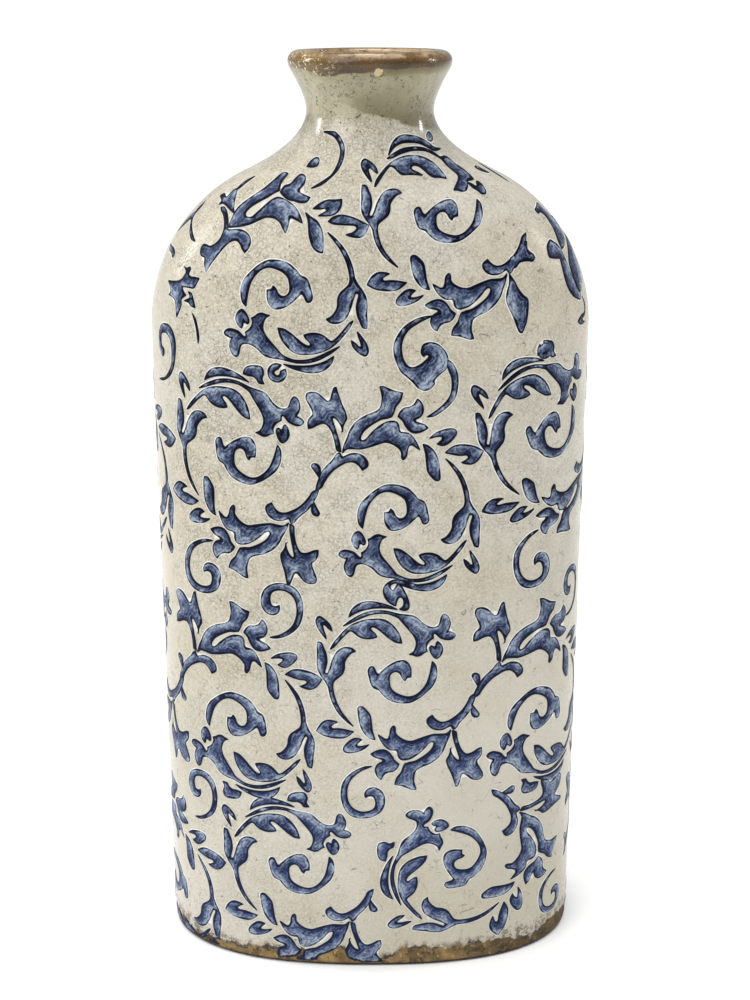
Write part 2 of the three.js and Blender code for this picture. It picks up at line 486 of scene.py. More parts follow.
SCROLL = {
    "inner_scroll": [
        (10.7, 5.8, 1), (11.8, 4.1), (12.0, 1.6), (11.5, -1.2), (9.9, -4.1), (7.0, -6.6), (4.1, -8.5),
        (1.0, -9.7), (-1.9, -9.6), (-4.8, -8.8), (-7.2, -7.4), (-9.1, -5.1), (-10.2, -3.4), (-12.1, -2.3),
        (-12.9, -0.5), (-13.3, 2.0), (-13.5, 4.9), (-12.6, 6.2), (-11.4, 6.1), (-10.7, 4.1),
        (-10.0, 2.5, 1), (-8.0, 4.3), (-5.5, 6.1), (-2.6, 7.4), (0.2, 7.5), (1.7, 6.1), (2.4, 3.8),
        (2.2, 0.6, 1), (0.7, 0.5), (-0.1, -0.7, 1), (-0.9, 0.3), (-1.7, 2.4), (-3.0, 3.4), (-4.5, 3.2),
        (-5.7, 2.0), (-6.1, -0.4), (-5.8, -3.0), (-4.6, -4.8), (-2.3, -6.4), (0.6, -7.4), (3.4, -6.9),
        (5.9, -5.1), (7.9, -2.6), (9.1, 0.2), (10.0, 3.1),
    ],
    "bud_leaf": [
        (-27.8, 18.8, 1), (-29.4, 21.4), (-30.6, 24.2), (-30.8, 26.6), (-29.8, 28.0), (-28.6, 27.6),
        (-26.8, 25.8), (-25.7, 24.0), (-25.3, 21.8, 1), (-26.6, 23.0), (-27.8, 24.6), (-28.6, 25.2),
        (-28.5, 22.8), (-28.0, 20.6),
    ],
    "tulip": [
        (-31.1, 17.9, 1), (-29.8, 17.4), (-29.1, 15.2), (-28.5, 12.8), (-28.5, 9.8), (-29.2, 7.4),
        (-29.8, 5.6), (-29.0, 4.6), (-27.7, 6.8), (-26.7, 9.4), (-25.7, 11.3), (-24.4, 13.3), (-22.5, 14.6),
        (-20.5, 14.9), (-18.6, 14.3), (-17.5, 13.0, 1), (-19.2, 12.4), (-20.7, 11.0), (-21.9, 9.0),
        (-22.3, 6.4), (-23.3, 4.4), (-25.2, 2.9), (-26.8, 1.5), (-27.4, -0.6), (-27.2, -4.0), (-26.5, -7.5),
        (-25.2, -11.0), (-23.4, -14.2), (-21.4, -17.4, 1), (-24.0, -14.7), (-26.3, -11.4), (-27.8, -7.8),
        (-28.7, -4.0), (-29.0, -0.6), (-29.9, 1.9), (-31.1, 4.1), (-32.1, 6.8), (-32.1, 9.8), (-31.7, 12.9),
        (-31.5, 15.8),
    ],
    "plume_leaf": [
        (-26.8, 14.6, 1), (-25.2, 17.0), (-22.8, 19.6), (-20.0, 22.2), (-17.0, 24.0), (-13.5, 25.0),
        (-10.0, 25.2), (-6.5, 24.8), (-4.0, 23.4), (-2.0, 21.0), (-0.6, 18.0), (0.0, 14.6, 1), (-2.2, 15.2),
        (-4.6, 17.2), (-6.8, 19.6), (-8.6, 21.4), (-10.2, 22.2), (-11.0, 21.6), (-10.4, 20.4), (-9.4, 19.2),
        (-9.0, 18.0, 1), (-11.0, 17.6), (-13.4, 17.8), (-15.6, 18.8), (-17.2, 20.4), (-18.4, 21.4),
        (-20.4, 20.2), (-23.0, 17.8), (-25.4, 15.4),
    ],
    "top_stroke": [
        (-18.5, 26.9, 1), (-17.4, 29.3), (-15.2, 31.3), (-12.2, 32.2), (-9.0, 32.0), (-6.0, 31.1),
        (-3.0, 29.8), (-0.4, 28.1, 1), (-3.4, 28.9), (-6.6, 29.4), (-10.0, 29.5), (-13.2, 29.1),
        (-16.0, 28.2),
    ],
    "fish_tail": [
        (-21.0, 23.5, 1), (-18.0, 25.5), (-15.0, 27.0), (-12.0, 28.0), (-8.6, 28.4), (-5.0, 28.0),
        (-2.0, 27.0), (0.4, 26.1), (2.6, 25.6), (5.0, 24.9), (6.6, 23.8), (8.4, 21.6), (10.5, 19.9),
        (12.5, 19.3), (14.2, 19.7), (15.0, 21.2), (15.6, 23.0), (16.6, 24.1), (17.8, 23.3), (18.6, 21.3),
        (18.6, 19.4), (17.9, 17.8), (17.2, 16.8, 1), (18.5, 16.6), (19.8, 15.8), (20.2, 15.0), (19.5, 14.1),
        (18.1, 13.6), (16.2, 14.0), (14.5, 14.9), (13.3, 16.4), (12.5, 17.0), (11.9, 16.4), (12.0, 15.2, 1),
        (10.4, 14.2), (9.3, 12.8), (8.9, 11.4), (9.2, 10.2, 1), (8.0, 9.8), (6.6, 8.9), (5.1, 8.7),
        (3.8, 9.3), (2.4, 9.8, 1), (3.8, 10.4), (4.8, 11.8), (5.4, 13.9), (5.2, 15.7), (4.4, 17.6),
        (2.6, 20.4), (1.0, 22.8), (-0.2, 24.6), (-2.0, 25.8), (-4.4, 26.9), (-7.4, 27.3), (-10.4, 27.1),
        (-13.4, 26.3), (-16.4, 25.2), (-19.0, 24.2),
    ],
    "fork_bud": [
        (13.4, 13.6, 1), (14.5, 12.2), (15.0, 10.2), (14.4, 8.3), (13.2, 7.1), (12.2, 6.9), (11.2, 7.9),
        (10.4, 9.8), (10.2, 11.4), (10.9, 12.2), (11.7, 11.5), (12.2, 10.2, 1), (12.5, 11.6), (12.8, 12.9),
    ],
    "top_curl": [
        (-2.7, 31.0, 1), (-2.0, 32.9), (-0.3, 34.0), (2.5, 34.3), (4.4, 33.8), (5.1, 31.8), (4.5, 29.8),
        (5.3, 28.0, 1), (3.4, 28.1), (2.6, 29.4), (1.2, 30.4), (-0.8, 30.5),
    ],
}
SPRAY = {
    "long_leaf": [
        (-35.4, -18.2, 1), (-34.2, -16.3), (-32.7, -14.8), (-30.8, -14.1), (-28.6, -14.5),
        (-27.1, -15.2, 1), (-28.5, -15.7), (-29.9, -16.7), (-29.2, -17.7), (-26.9, -17.9), (-24.6, -18.5),
        (-21.5, -19.6, 1), (-23.1, -20.8), (-25.0, -21.7), (-27.4, -21.8), (-30.4, -21.2), (-33.2, -20.0),
    ],
    "split_leaf": [
        (-25.9, -26.0), (-24.2, -24.0), (-22.3, -22.7), (-20.6, -22.4), (-18.7, -23.2, 1), (-20.1, -24.2),
        (-21.2, -25.5), (-19.2, -26.0), (-16.2, -25.6, 1), (-18.5, -27.2), (-21.5, -28.1), (-24.2, -28.2),
        (-25.8, -27.5),
    ],
    "blade_leaf": [
        (-18.7, -9.9), (-17.3, -9.6), (-15.8, -11.2), (-14.6, -13.4), (-14.4, -16.4), (-14.3, -20.2),
        (-13.7, -23.7, 1), (-15.4, -22.9), (-16.9, -21.3), (-18.1, -19.0), (-18.7, -16.0), (-18.9, -12.5),
    ],
    "bell_flower": [
        (-12.3, -21.8, 1), (-11.1, -22.8), (-9.7, -23.9), (-8.6, -23.7, 1), (-7.9, -22.2), (-7.4, -20.0),
        (-6.2, -18.7), (-5.6, -19.6), (-5.7, -21.6), (-4.7, -23.3), (-2.6, -25.0), (-0.1, -25.8),
        (2.8, -25.2), (5.3, -24.6), (8.7, -24.1), (11.2, -24.4), (13.6, -24.5), (15.4, -23.2, 1),
        (14.4, -26.0), (13.0, -28.7), (11.7, -31.4), (9.5, -33.9), (6.2, -35.9), (2.8, -37.0), (0.7, -38.1),
        (-0.2, -40.0), (-0.6, -42.7), (-0.1, -46.2, 1), (-1.4, -46.1), (-3.4, -45.0), (-5.5, -43.9),
        (-7.9, -43.2, 1), (-7.0, -40.6), (-5.1, -38.4), (-4.0, -36.0), (-3.3, -34.9, 1), (-1.3, -34.5),
        (0.8, -34.2), (4.1, -32.6), (6.6, -30.9), (8.0, -29.2), (8.5, -27.7), (7.8, -27.0), (6.4, -27.5),
        (4.4, -29.5), (2.0, -31.4), (-0.5, -32.8), (-3.0, -33.3), (-4.7, -32.9), (-5.5, -31.6),
        (-5.6, -29.8), (-6.3, -28.8), (-8.4, -28.4), (-10.1, -26.8), (-11.4, -24.4),
    ],
    "trefoil": [
        (-15.9, -29.5, 1), (-13.8, -28.5), (-11.8, -28.1), (-10.1, -28.5), (-8.8, -29.7), (-7.8, -31.4),
        (-7.1, -33.1), (-5.6, -34.8, 1), (-6.5, -36.4), (-8.2, -37.6), (-9.9, -37.7), (-11.7, -38.6),
        (-13.0, -40.5, 1), (-14.3, -38.9), (-14.8, -36.4), (-13.9, -34.3), (-12.2, -33.3),
        (-10.9, -33.0, 1), (-11.2, -32.4), (-13.2, -31.5), (-14.8, -30.7),
    ],
    "hook_stem": [
        (8.8, -16.1, 1), (7.0, -17.2), (6.6, -18.7), (7.6, -20.8), (9.5, -22.2), (12.0, -22.6),
        (14.1, -22.0), (15.5, -21.6), (16.4, -23.2), (17.6, -22.6), (18.8, -21.0), (20.4, -19.5),
        (22.0, -18.1), (23.7, -16.0), (25.0, -13.5), (25.9, -11.4), (26.3, -9.8, 1), (24.1, -10.8),
        (23.0, -12.6), (21.2, -15.0), (19.1, -17.0), (16.6, -18.5), (14.3, -19.5), (12.0, -19.5),
        (10.3, -18.4), (9.3, -17.1),
    ],
    "joint_drop": [
        (24.4, -14.2, 1), (25.7, -16.6), (26.9, -18.9), (26.0, -19.9), (24.4, -19.2), (23.9, -17.2),
    ],
    "hanging_flower": [
        (15.9, -23.6, 1), (17.3, -24.4), (17.6, -27.7), (18.3, -31.0), (19.5, -33.5), (20.8, -34.5),
        (22.8, -34.3), (25.3, -33.2), (26.7, -33.0, 1), (26.6, -35.2), (25.7, -36.8), (24.5, -37.9),
        (24.5, -39.3), (25.5, -41.8), (26.3, -43.9), (26.0, -45.6), (24.1, -46.1), (22.0, -45.4),
        (20.3, -43.7), (19.1, -42.3, 1), (17.9, -42.6), (17.1, -44.8), (16.2, -47.0), (15.4, -47.3, 1),
        (14.9, -44.7), (14.1, -41.4), (13.0, -38.1), (12.7, -35.6), (13.5, -34.3), (14.3, -32.7),
        (14.5, -31.1, 1), (14.9, -33.3), (16.1, -35.5), (17.3, -36.5), (17.8, -35.7), (17.3, -33.1),
        (16.5, -29.3), (16.0, -26.4),
    ],
}
CURL = {
    "curl": [
        (4.0, 12.6, 1), (1.3, 12.9), (-2.4, 12.1), (-6.0, 10.3), (-8.5, 8.0), (-10.1, 4.8), (-10.8, 1.2),
        (-10.6, -2.5), (-9.4, -5.6), (-6.9, -7.8), (-3.3, -8.8), (-0.1, -8.7), (3.1, -7.4), (5.1, -5.1),
        (6.0, -2.0), (5.6, 0.8), (4.0, 2.8), (1.7, 3.5), (-0.3, 2.8), (-1.3, 1.2), (-1.3, -0.2, 1),
        (0.0, 0.3), (1.5, 0.0), (2.2, -1.2), (2.2, -3.4), (1.2, -5.4), (-1.0, -6.3), (-4.2, -6.0),
        (-6.9, -4.2), (-8.3, -1.5), (-8.5, 1.6), (-7.8, 4.8), (-6.2, 7.8), (-3.7, 10.0), (-0.5, 11.6),
        (2.2, 12.2),
    ],
}
S_CURL = {
    "s_curl": [
        (12.0, 35.4, 1), (9.0, 36.5), (6.0, 37.7), (3.0, 38.9), (0.2, 39.8), (-1.8, 39.5), (-3.7, 38.3),
        (-4.8, 36.3), (-4.7, 34.0), (-3.8, 32.0), (-2.3, 30.4), (-0.9, 29.6, 1), (-0.4, 31.2), (0.4, 32.6),
        (1.4, 32.9), (2.2, 31.8), (2.2, 30.0), (1.5, 28.8), (0.4, 28.2, 1), (1.2, 27.7), (2.5, 27.4),
        (3.7, 28.0), (4.1, 29.6), (3.9, 31.6), (3.2, 34.0), (2.4, 36.0), (1.7, 37.3), (0.8, 37.9),
        (0.0, 37.2), (-0.8, 36.0), (-1.6, 35.7), (-2.2, 36.6), (-2.1, 37.8), (-1.0, 38.5), (0.6, 38.5),
        (3.0, 37.4), (6.0, 36.0), (9.0, 35.2),
    ],
}
BUD_RING = {
    "bud_ring": [
        (1.6, 2.9, 1), (-0.6, 3.3), (-2.6, 2.1), (-3.3, 0.0), (-2.5, -2.2), (-0.4, -3.3), (2.0, -2.7),
        (3.3, -0.6), (3.0, 1.4, 1), (1.4, 0.6), (1.0, -0.6), (0.0, -1.1), (-1.0, -0.4), (-0.9, 0.7),
        (0.2, 1.3),
    ],
}
DROP = {"drop": [(0.0, 1.5), (1.3, 0.7), (1.4, -0.7), (0.2, -1.5), (-1.2, -0.9), (-1.4, 0.5)]}
# The crest of the scroll under the right of the neck.
CREST = {
    "top_stroke": [
        (-9.3, 9.0, 1), (-8.7, 11.2), (-7.6, 13.3), (-5.9, 14.8), (-3.4, 15.4), (0.0, 15.1), (3.6, 14.1),
        (7.0, 12.4), (9.4, 10.9), (12.5, 10.4, 1), (10.4, 10.0), (8.4, 10.1), (5.6, 11.4), (2.4, 12.6),
        (-1.0, 13.0), (-4.2, 12.9), (-6.6, 12.0), (-8.2, 10.6),
    ],
    "long_tail": [
        (-9.9, 7.9, 1), (-7.0, 9.8), (-4.0, 11.0), (0.0, 11.4), (4.0, 11.0), (8.0, 9.6), (11.0, 7.8),
        (13.4, 7.9), (15.4, 7.0), (17.4, 5.2), (20.0, 3.6), (22.2, 1.8), (23.3, 0.5, 1), (21.6, 0.2),
        (19.9, 0.0), (19.9, -1.4), (19.0, -2.7), (17.2, -3.0), (15.6, -2.6), (14.2, -2.5, 1), (15.2, -1.0),
        (16.4, 0.5), (16.8, 1.8), (16.0, 2.8), (14.2, 4.2), (12.6, 5.6), (11.4, 7.0), (9.0, 8.4),
        (6.0, 9.7), (3.0, 10.3), (-1.0, 10.3), (-5.0, 9.4), (-8.0, 8.2),
    ],
    "plume": [
        (-14.3, -1.1, 1), (-13.7, 0.9), (-12.0, 3.2), (-9.8, 5.5), (-7.5, 7.1), (-4.5, 8.3), (-1.0, 8.7),
        (2.6, 8.3), (6.0, 7.0), (8.6, 5.1), (10.6, 2.9), (11.8, 1.2, 1), (9.4, 1.6), (6.8, 1.8), (5.0, 2.8),
        (3.2, 4.3), (1.4, 5.4), (-0.6, 5.6), (-1.3, 4.6), (-0.2, 3.8), (1.2, 3.3), (2.7, 2.4, 1),
        (0.4, 2.7), (-2.2, 2.8), (-4.6, 2.8), (-6.1, 3.8), (-7.4, 5.0), (-8.8, 5.5), (-10.4, 4.0),
        (-12.2, 1.6), (-13.6, -0.4),
    ],
    "pod": [
        (20.0, -0.4, 1), (21.8, -1.0), (23.2, -1.8), (24.3, -1.6), (23.9, -0.7), (24.8, -0.4), (26.2, -1.4),
        (27.1, -3.2), (26.9, -4.2), (25.2, -4.2), (23.6, -3.0), (21.8, -2.0),
    ],
    "first_stroke": [(27.6, 3.6, 1), (29.0, 3.8), (31.0, 3.2), (34.5, 1.6, 1), (31.2, 2.2), (29.0, 2.9)],
    "second_stroke": [(35.0, 4.4, 1), (38.0, 3.2), (41.0, 1.0), (43.8, -1.8, 1), (40.2, 0.4), (37.4, 2.4)],
}
# The spray on the left of the shoulder, and the arc above it.
LEFT_SPRAY = {
    "big_bell": [
        (-9.8, -1.6, 1), (-8.6, 1.6), (-7.2, 4.4), (-4.4, 6.8), (-0.6, 9.2), (3.2, 11.6), (6.2, 14.0),
        (8.6, 16.0), (10.2, 16.7), (11.9, 16.4, 1), (10.6, 14.9), (9.6, 13.0), (9.5, 11.2, 1), (7.6, 10.4),
        (5.0, 8.9), (1.6, 7.2), (-1.4, 5.4), (-3.2, 3.4), (-2.6, 2.2), (-0.6, 2.2), (2.0, 4.2), (4.6, 6.4),
        (7.2, 8.3), (9.6, 9.0), (12.0, 8.2), (14.2, 7.2), (16.2, 5.4), (17.6, 3.2), (18.4, 1.0, 1),
        (16.2, 2.0), (13.8, 2.9, 1), (13.4, 0.6), (12.4, -2.4, 1), (11.4, -0.8), (10.2, 1.2), (7.8, 2.4),
        (4.8, 2.4), (1.8, 1.2), (-1.6, -0.2), (-5.4, -1.0),
    ],
    "trefoil": [
        (9.9, 10.7, 1), (11.2, 12.6), (13.6, 13.4), (15.4, 15.3), (17.2, 16.5), (18.8, 15.8), (18.7, 13.7),
        (17.4, 12.2), (16.5, 10.9, 1), (18.6, 10.1), (21.0, 9.3, 1), (19.8, 7.9), (17.6, 7.6), (15.4, 8.1),
        (13.0, 8.5), (11.2, 9.6),
    ],
    "blade": [
        (19.5, 4.4, 1), (21.4, 3.0), (23.4, 1.8), (24.8, -0.2), (25.6, -3.0), (25.7, -6.0), (25.6, -8.8, 1),
        (23.8, -8.4), (22.2, -6.8), (21.0, -3.6), (20.7, -0.4), (20.4, 2.2),
    ],
    "long_leaf": [
        (27.6, 1.6, 1), (29.2, 3.0), (32.0, 3.7), (35.6, 3.1), (38.8, 1.8), (41.6, 0.4, 1), (40.4, -2.2),
        (38.6, -3.5), (36.0, -3.4), (33.8, -2.7, 1), (36.2, -2.0), (37.6, -0.6), (36.8, 0.4), (33.0, 0.6),
        (29.6, 0.8),
    ],
    "split_leaf": [
        (22.2, 5.7, 1), (24.6, 7.4), (27.2, 8.5), (30.0, 8.6), (32.3, 8.9, 1), (32.0, 6.6), (30.6, 4.6),
        (28.2, 3.6), (24.1, 3.4, 1), (26.4, 4.6), (27.8, 5.6), (27.2, 6.2), (25.0, 5.7),
    ],
    "bud": [(19.0, 19.0, 1), (20.4, 20.8), (22.4, 21.9), (23.5, 21.4), (23.2, 19.6), (21.4, 18.9)],
    "thin_arc": [
        (24.3, 30.3, 1), (27.0, 30.8), (29.2, 30.4), (31.2, 28.7), (32.6, 26.2), (32.8, 23.4), (32.1, 20.7),
        (30.6, 18.2), (28.1, 15.7), (24.8, 13.4), (21.4, 12.2, 1), (25.9, 14.8), (28.7, 16.8), (30.3, 19.3),
        (31.3, 21.8), (31.6, 24.6), (30.6, 27.1), (28.9, 28.9), (26.7, 29.8),
    ],
}
# The leaves round the left end of the shoulder.
LEFT_LEAVES = {
    "side_flower": [
        (-4.8, -9.0), (-3.9, -9.7), (-1.6, -9.1), (-1.5, -10.2), (-2.2, -11.4), (-1.0, -12.3), (1.1, -12.3),
        (3.0, -12.5, 1), (2.0, -14.1), (0.7, -15.9), (-1.1, -16.0), (-3.7, -15.9), (-5.2, -15.9, 1),
        (-4.4, -17.5), (-3.0, -18.8, 1), (-5.2, -20.4), (-5.2, -22.3), (-5.9, -24.1), (-7.6, -27.1, 1),
        (-7.9, -24.9), (-8.3, -21.9), (-9.6, -20.4), (-12.6, -19.7, 1), (-11.5, -18.6), (-12.2, -16.7),
        (-13.9, -15.1, 1), (-10.7, -14.9), (-7.8, -14.5), (-5.6, -13.6), (-4.4, -12.3), (-3.5, -10.8),
    ],
    "side_petal": [
        (-1.9, -17.5, 1), (-0.4, -17.9), (0.5, -19.7), (1.5, -22.7, 1), (-0.4, -22.3), (-1.5, -21.2),
        (-3.7, -20.8, 1), (-2.2, -20.2), (-1.1, -19.6), (-1.1, -18.6),
    ],
    "side_tail": [
        (0.2, -24.9, 1), (1.8, -27.0), (2.6, -30.1), (3.0, -33.0), (2.6, -35.4, 1), (2.3, -33.0),
        (1.9, -30.2), (1.1, -27.2),
    ],
    "edge_branch": [
        (-5.2, 12.6, 1), (-4.6, 11.0), (-6.0, 9.4), (-7.6, 7.4), (-6.6, 5.2), (-4.4, 3.0), (-2.6, 1.2),
        (-0.9, -0.3, 1), (-3.3, 0.2), (-5.6, 2.2), (-7.6, 5.0), (-9.2, 6.2), (-12.5, 4.6), (-16.5, 2.4),
        (-20.0, 0.8, 1), (-17.0, 3.6), (-13.0, 6.4), (-9.6, 8.4), (-7.2, 10.4),
    ],
    "edge_stroke": [
        (-21.9, -3.6, 1), (-18.1, -4.0), (-14.8, -4.3), (-12.6, -5.6), (-13.7, -7.0), (-15.9, -5.7),
        (-19.6, -5.1),
    ],
    "fan_leaf": [
        (5.6, 14.9, 1), (7.8, 15.6), (10.0, 14.6), (12.2, 17.0), (14.4, 17.8, 1), (14.8, 15.1),
        (15.3, 12.1), (15.8, 10.2, 1), (14.2, 10.9), (12.2, 11.9), (9.6, 12.8), (7.2, 12.2, 1), (8.1, 13.6),
    ],
    "fan_hair": [(13.3, 16.8, 1), (15.0, 19.0), (17.4, 20.6), (20.4, 21.8, 1), (17.6, 19.9), (15.6, 18.2)],
    "big_hook": [
        (8.9, 11.4, 1), (10.9, 11.5), (12.8, 9.8), (13.9, 7.0), (13.9, 4.8), (15.5, 4.6), (18.9, 4.9),
        (21.1, 4.4), (22.8, 3.2), (23.5, 1.2), (22.8, -0.9), (21.4, -2.5, 1), (20.4, -1.4), (19.5, 0.3),
        (17.8, 1.4), (15.2, 0.7), (12.6, -1.6), (10.0, -4.5), (7.8, -7.1), (5.9, -9.8, 1), (5.1, -7.2),
        (5.0, -5.2), (3.2, -4.6), (2.7, -2.7), (3.6, -1.1), (5.2, -1.0), (7.0, -1.4), (9.4, -0.2),
        (11.2, 1.6), (12.3, 4.4), (12.2, 7.0), (11.2, 9.2), (9.6, 10.6),
    ],
}
# The leaves at the right end of the shoulder.
RIGHT_LEAVES = {
    "fork": [
        (-9.6, 9.8), (-7.0, 11.6), (-4.8, 13.5), (-3.0, 15.6, 1), (-2.0, 15.3, 1), (-2.1, 12.7),
        (0.4, 10.8), (0.9, 9.8, 1), (0.0, 8.7), (-2.6, 9.0), (-5.6, 8.7), (-7.8, 7.0),
    ],
    "droop_leaf": [
        (-10.0, 5.0, 1), (-8.1, 2.4), (-6.3, -0.6), (-4.4, -2.8), (-2.7, -4.3), (-2.6, -8.0), (-3.3, -12.4),
        (-4.8, -15.8, 1), (-5.9, -15.4), (-7.0, -13.2), (-8.5, -9.5), (-10.4, -5.8), (-11.1, -3.2),
        (-10.7, -0.6), (-10.0, 1.6),
    ],
    "edge_leaf": [
        (6.5, 24.8, 1), (10.0, 25.8), (13.0, 26.3), (17.0, 23.8), (21.0, 21.5), (26.0, 20.3), (25.0, 16.5),
        (22.5, 13.6), (19.0, 11.6), (16.7, 11.2, 1), (15.6, 14.0), (15.3, 17.2), (14.4, 20.0), (12.6, 22.6),
        (10.0, 23.9), (7.8, 23.7),
    ],
    "long_stem": [
        (7.8, 13.1), (10.0, 14.7), (12.2, 13.9), (14.4, 12.7), (16.7, 9.8), (18.5, 6.1), (20.0, 2.4),
        (21.9, -1.0), (24.1, -3.6), (26.3, -5.4, 1), (25.6, -7.3), (22.6, -6.5), (19.6, -5.0), (17.0, -2.1),
        (15.6, 1.3), (14.8, 4.6), (14.1, 8.3, 1), (10.7, 8.7), (8.1, 9.4), (7.6, 11.3),
    ],
    "dark_leaf": [
        (31.0, 14.5), (27.0, 13.8), (24.0, 11.8), (21.5, 9.0), (20.2, 6.0), (20.8, 2.5), (22.5, -1.0),
        (24.5, -3.8), (27.0, -4.5), (29.5, -2.0), (31.0, 2.0),
    ],
    "thin_tail": [
        (27.6, -6.5, 1), (29.3, -9.5), (28.9, -12.4), (25.6, -13.2), (23.0, -15.0), (25.6, -16.4),
        (29.3, -16.1, 1), (25.8, -14.8), (29.6, -13.2), (30.2, -9.5),
    ],
}
DOUBLE_CURL = {
    "curl": [
        (6.3, 18.6, 1), (3.0, 18.3), (-0.3, 17.2), (-3.7, 15.0), (-5.9, 12.2), (-7.3, 8.9), (-7.3, 5.0),
        (-6.2, 1.7), (-4.8, -1.1), (-2.0, -3.6), (0.0, -5.6), (1.1, -6.9), (3.6, -7.9), (5.5, -7.2),
        (6.9, -5.6), (6.3, -5.0, 1), (8.0, -2.8), (10.5, -0.8), (11.3, 0.6), (11.6, 2.8), (11.1, 5.0),
        (9.7, 6.9), (7.7, 8.6), (5.2, 9.2), (3.0, 8.6), (2.2, 6.9), (2.2, 5.3), (3.0, 4.3, 1), (4.1, 5.0),
        (4.9, 4.2), (3.0, 2.2), (0.8, 0.8), (-1.2, 0.3), (-2.8, 1.1), (-4.2, 3.3), (-4.8, 6.1), (-4.8, 8.9),
        (-3.9, 11.7), (-2.0, 14.2), (0.8, 16.1), (4.1, 17.8),
    ],
    "tail": [
        (10.8, 3.3, 1), (13.0, 1.7), (14.7, -1.1), (15.3, -3.9), (15.2, -7.2), (14.4, -10.6), (12.4, -13.3),
        (9.7, -15.6), (6.9, -17.3), (4.4, -17.7, 1), (8.0, -15.3), (10.8, -12.8), (12.7, -10.0),
        (13.3, -6.7), (13.0, -3.3), (11.9, -0.6),
    ],
}
SIDE_CURL = {
    "curl": [
        (-14.8, -17.0, 1), (-12.0, -17.0), (-9.0, -15.9), (-6.0, -13.7), (-4.0, -10.2), (-3.0, -6.0),
        (-2.6, -2.0), (-3.4, 1.5), (-5.5, 4.0), (-8.5, 4.6), (-11.5, 3.6), (-13.4, 1.0), (-14.1, -2.0),
        (-13.6, -5.0), (-12.6, -6.5), (-11.3, -8.0, 1), (-10.0, -6.5), (-10.2, -5.0), (-11.8, -3.8),
        (-12.0, -1.5), (-11.5, 0.5), (-9.5, 1.4), (-7.6, 1.1), (-5.8, -0.6), (-5.0, -3.5), (-5.0, -7.0),
        (-5.6, -10.4), (-7.4, -13.2), (-10.0, -15.6), (-12.6, -16.4),
    ],
}


def without(shapes, *names):
    return {name: line for name, line in shapes.items() if name not in names}


WHOLE = {**SCROLL, **SPRAY}
HANGING = ("hook_stem", "joint_drop", "hanging_flower")
SCROLL_FOOT = without(SCROLL, "plume_leaf", "top_stroke", "fish_tail", "fork_bud", "top_curl")

# Each motif: its shapes, its place along the wall and up it, its turn in degrees, and its stretch.
FRONT = {
    "shoulder": [
        (without(SCROLL, "top_curl"), -34, 271, 186.5, 1, 0.96),
        (BUD_RING, -33, 241, 0, 1, 1),
        (LEFT_SPRAY, -42, 292, 0, 1, 1),
        (LEFT_LEAVES, -66, 285, 0, 1, 1),
        (SCROLL_FOOT, 29, 294.4, 6, 0.97, 0.8),
        (CREST, 16, 306, 0, 1, 1),
        (DROP, 24.3, 320.5, 0, 1.1, 1),
        (without(SPRAY, *HANGING[1:]), 31.3, 293, 8, 0.98, 0.87),
        (RIGHT_LEAVES, 60, 270, 0, 1, 1),
        (BUD_RING, 65.2, 247.2, 80, 1, 1),
        (DOUBLE_CURL, 16, 243, 0, 1, 1),
        (SIDE_CURL, -72, 250, 0, 1, 1),
    ],
    "upper": [
        (WHOLE, -44, 209, -2, 0.98, 1),
        (without(WHOLE, "top_curl"), 7.5, 190.5, 185, 1, 1),
        (SCROLL, 72, 216, 14, 0.98, 1),
        (SPRAY, 74.5, 211.5, 13, 1.06, 0.8),
        (WHOLE, -112, 194, 180, 1, 1),
    ],
    "middle": [
        (without(WHOLE, "top_curl"), 13.2, 124.2, 5.5, 1, 1),
        (S_CURL, 13.2, 124.2, 5.5, 1, 1),
        (WHOLE, -53.5, 105.3, 180, 1, 1.02),
        (WHOLE, 66.2, 105, 179.5, 1.03, 1),
        (WHOLE, -104, 125, 3, 1, 1),
        (CURL, -63, 163, 3.5, 0.98, 0.98),
        (CURL, -35, 152.6, 185, 0.92, 0.99),
        (CURL, 64.6, 166, 16, 0.92, 0.99),
        (CURL, 84, 152, 185, 0.7, 0.9),
    ],
    "lower": [
        (WHOLE, -26, 42, 6, 1, 1),
        (WHOLE, 36.3, 48.3, 86.5, 1.05, 0.98),
        (WHOLE, -94, 23, 180, 1, 1),
        (CURL, -0.6, 75.3, 12, 0.96, 0.98),
        (CURL, -71, 70, 185, 0.85, 0.98),
        (CURL, 80, 20, 10, 0.8, 0.8),
    ],
}
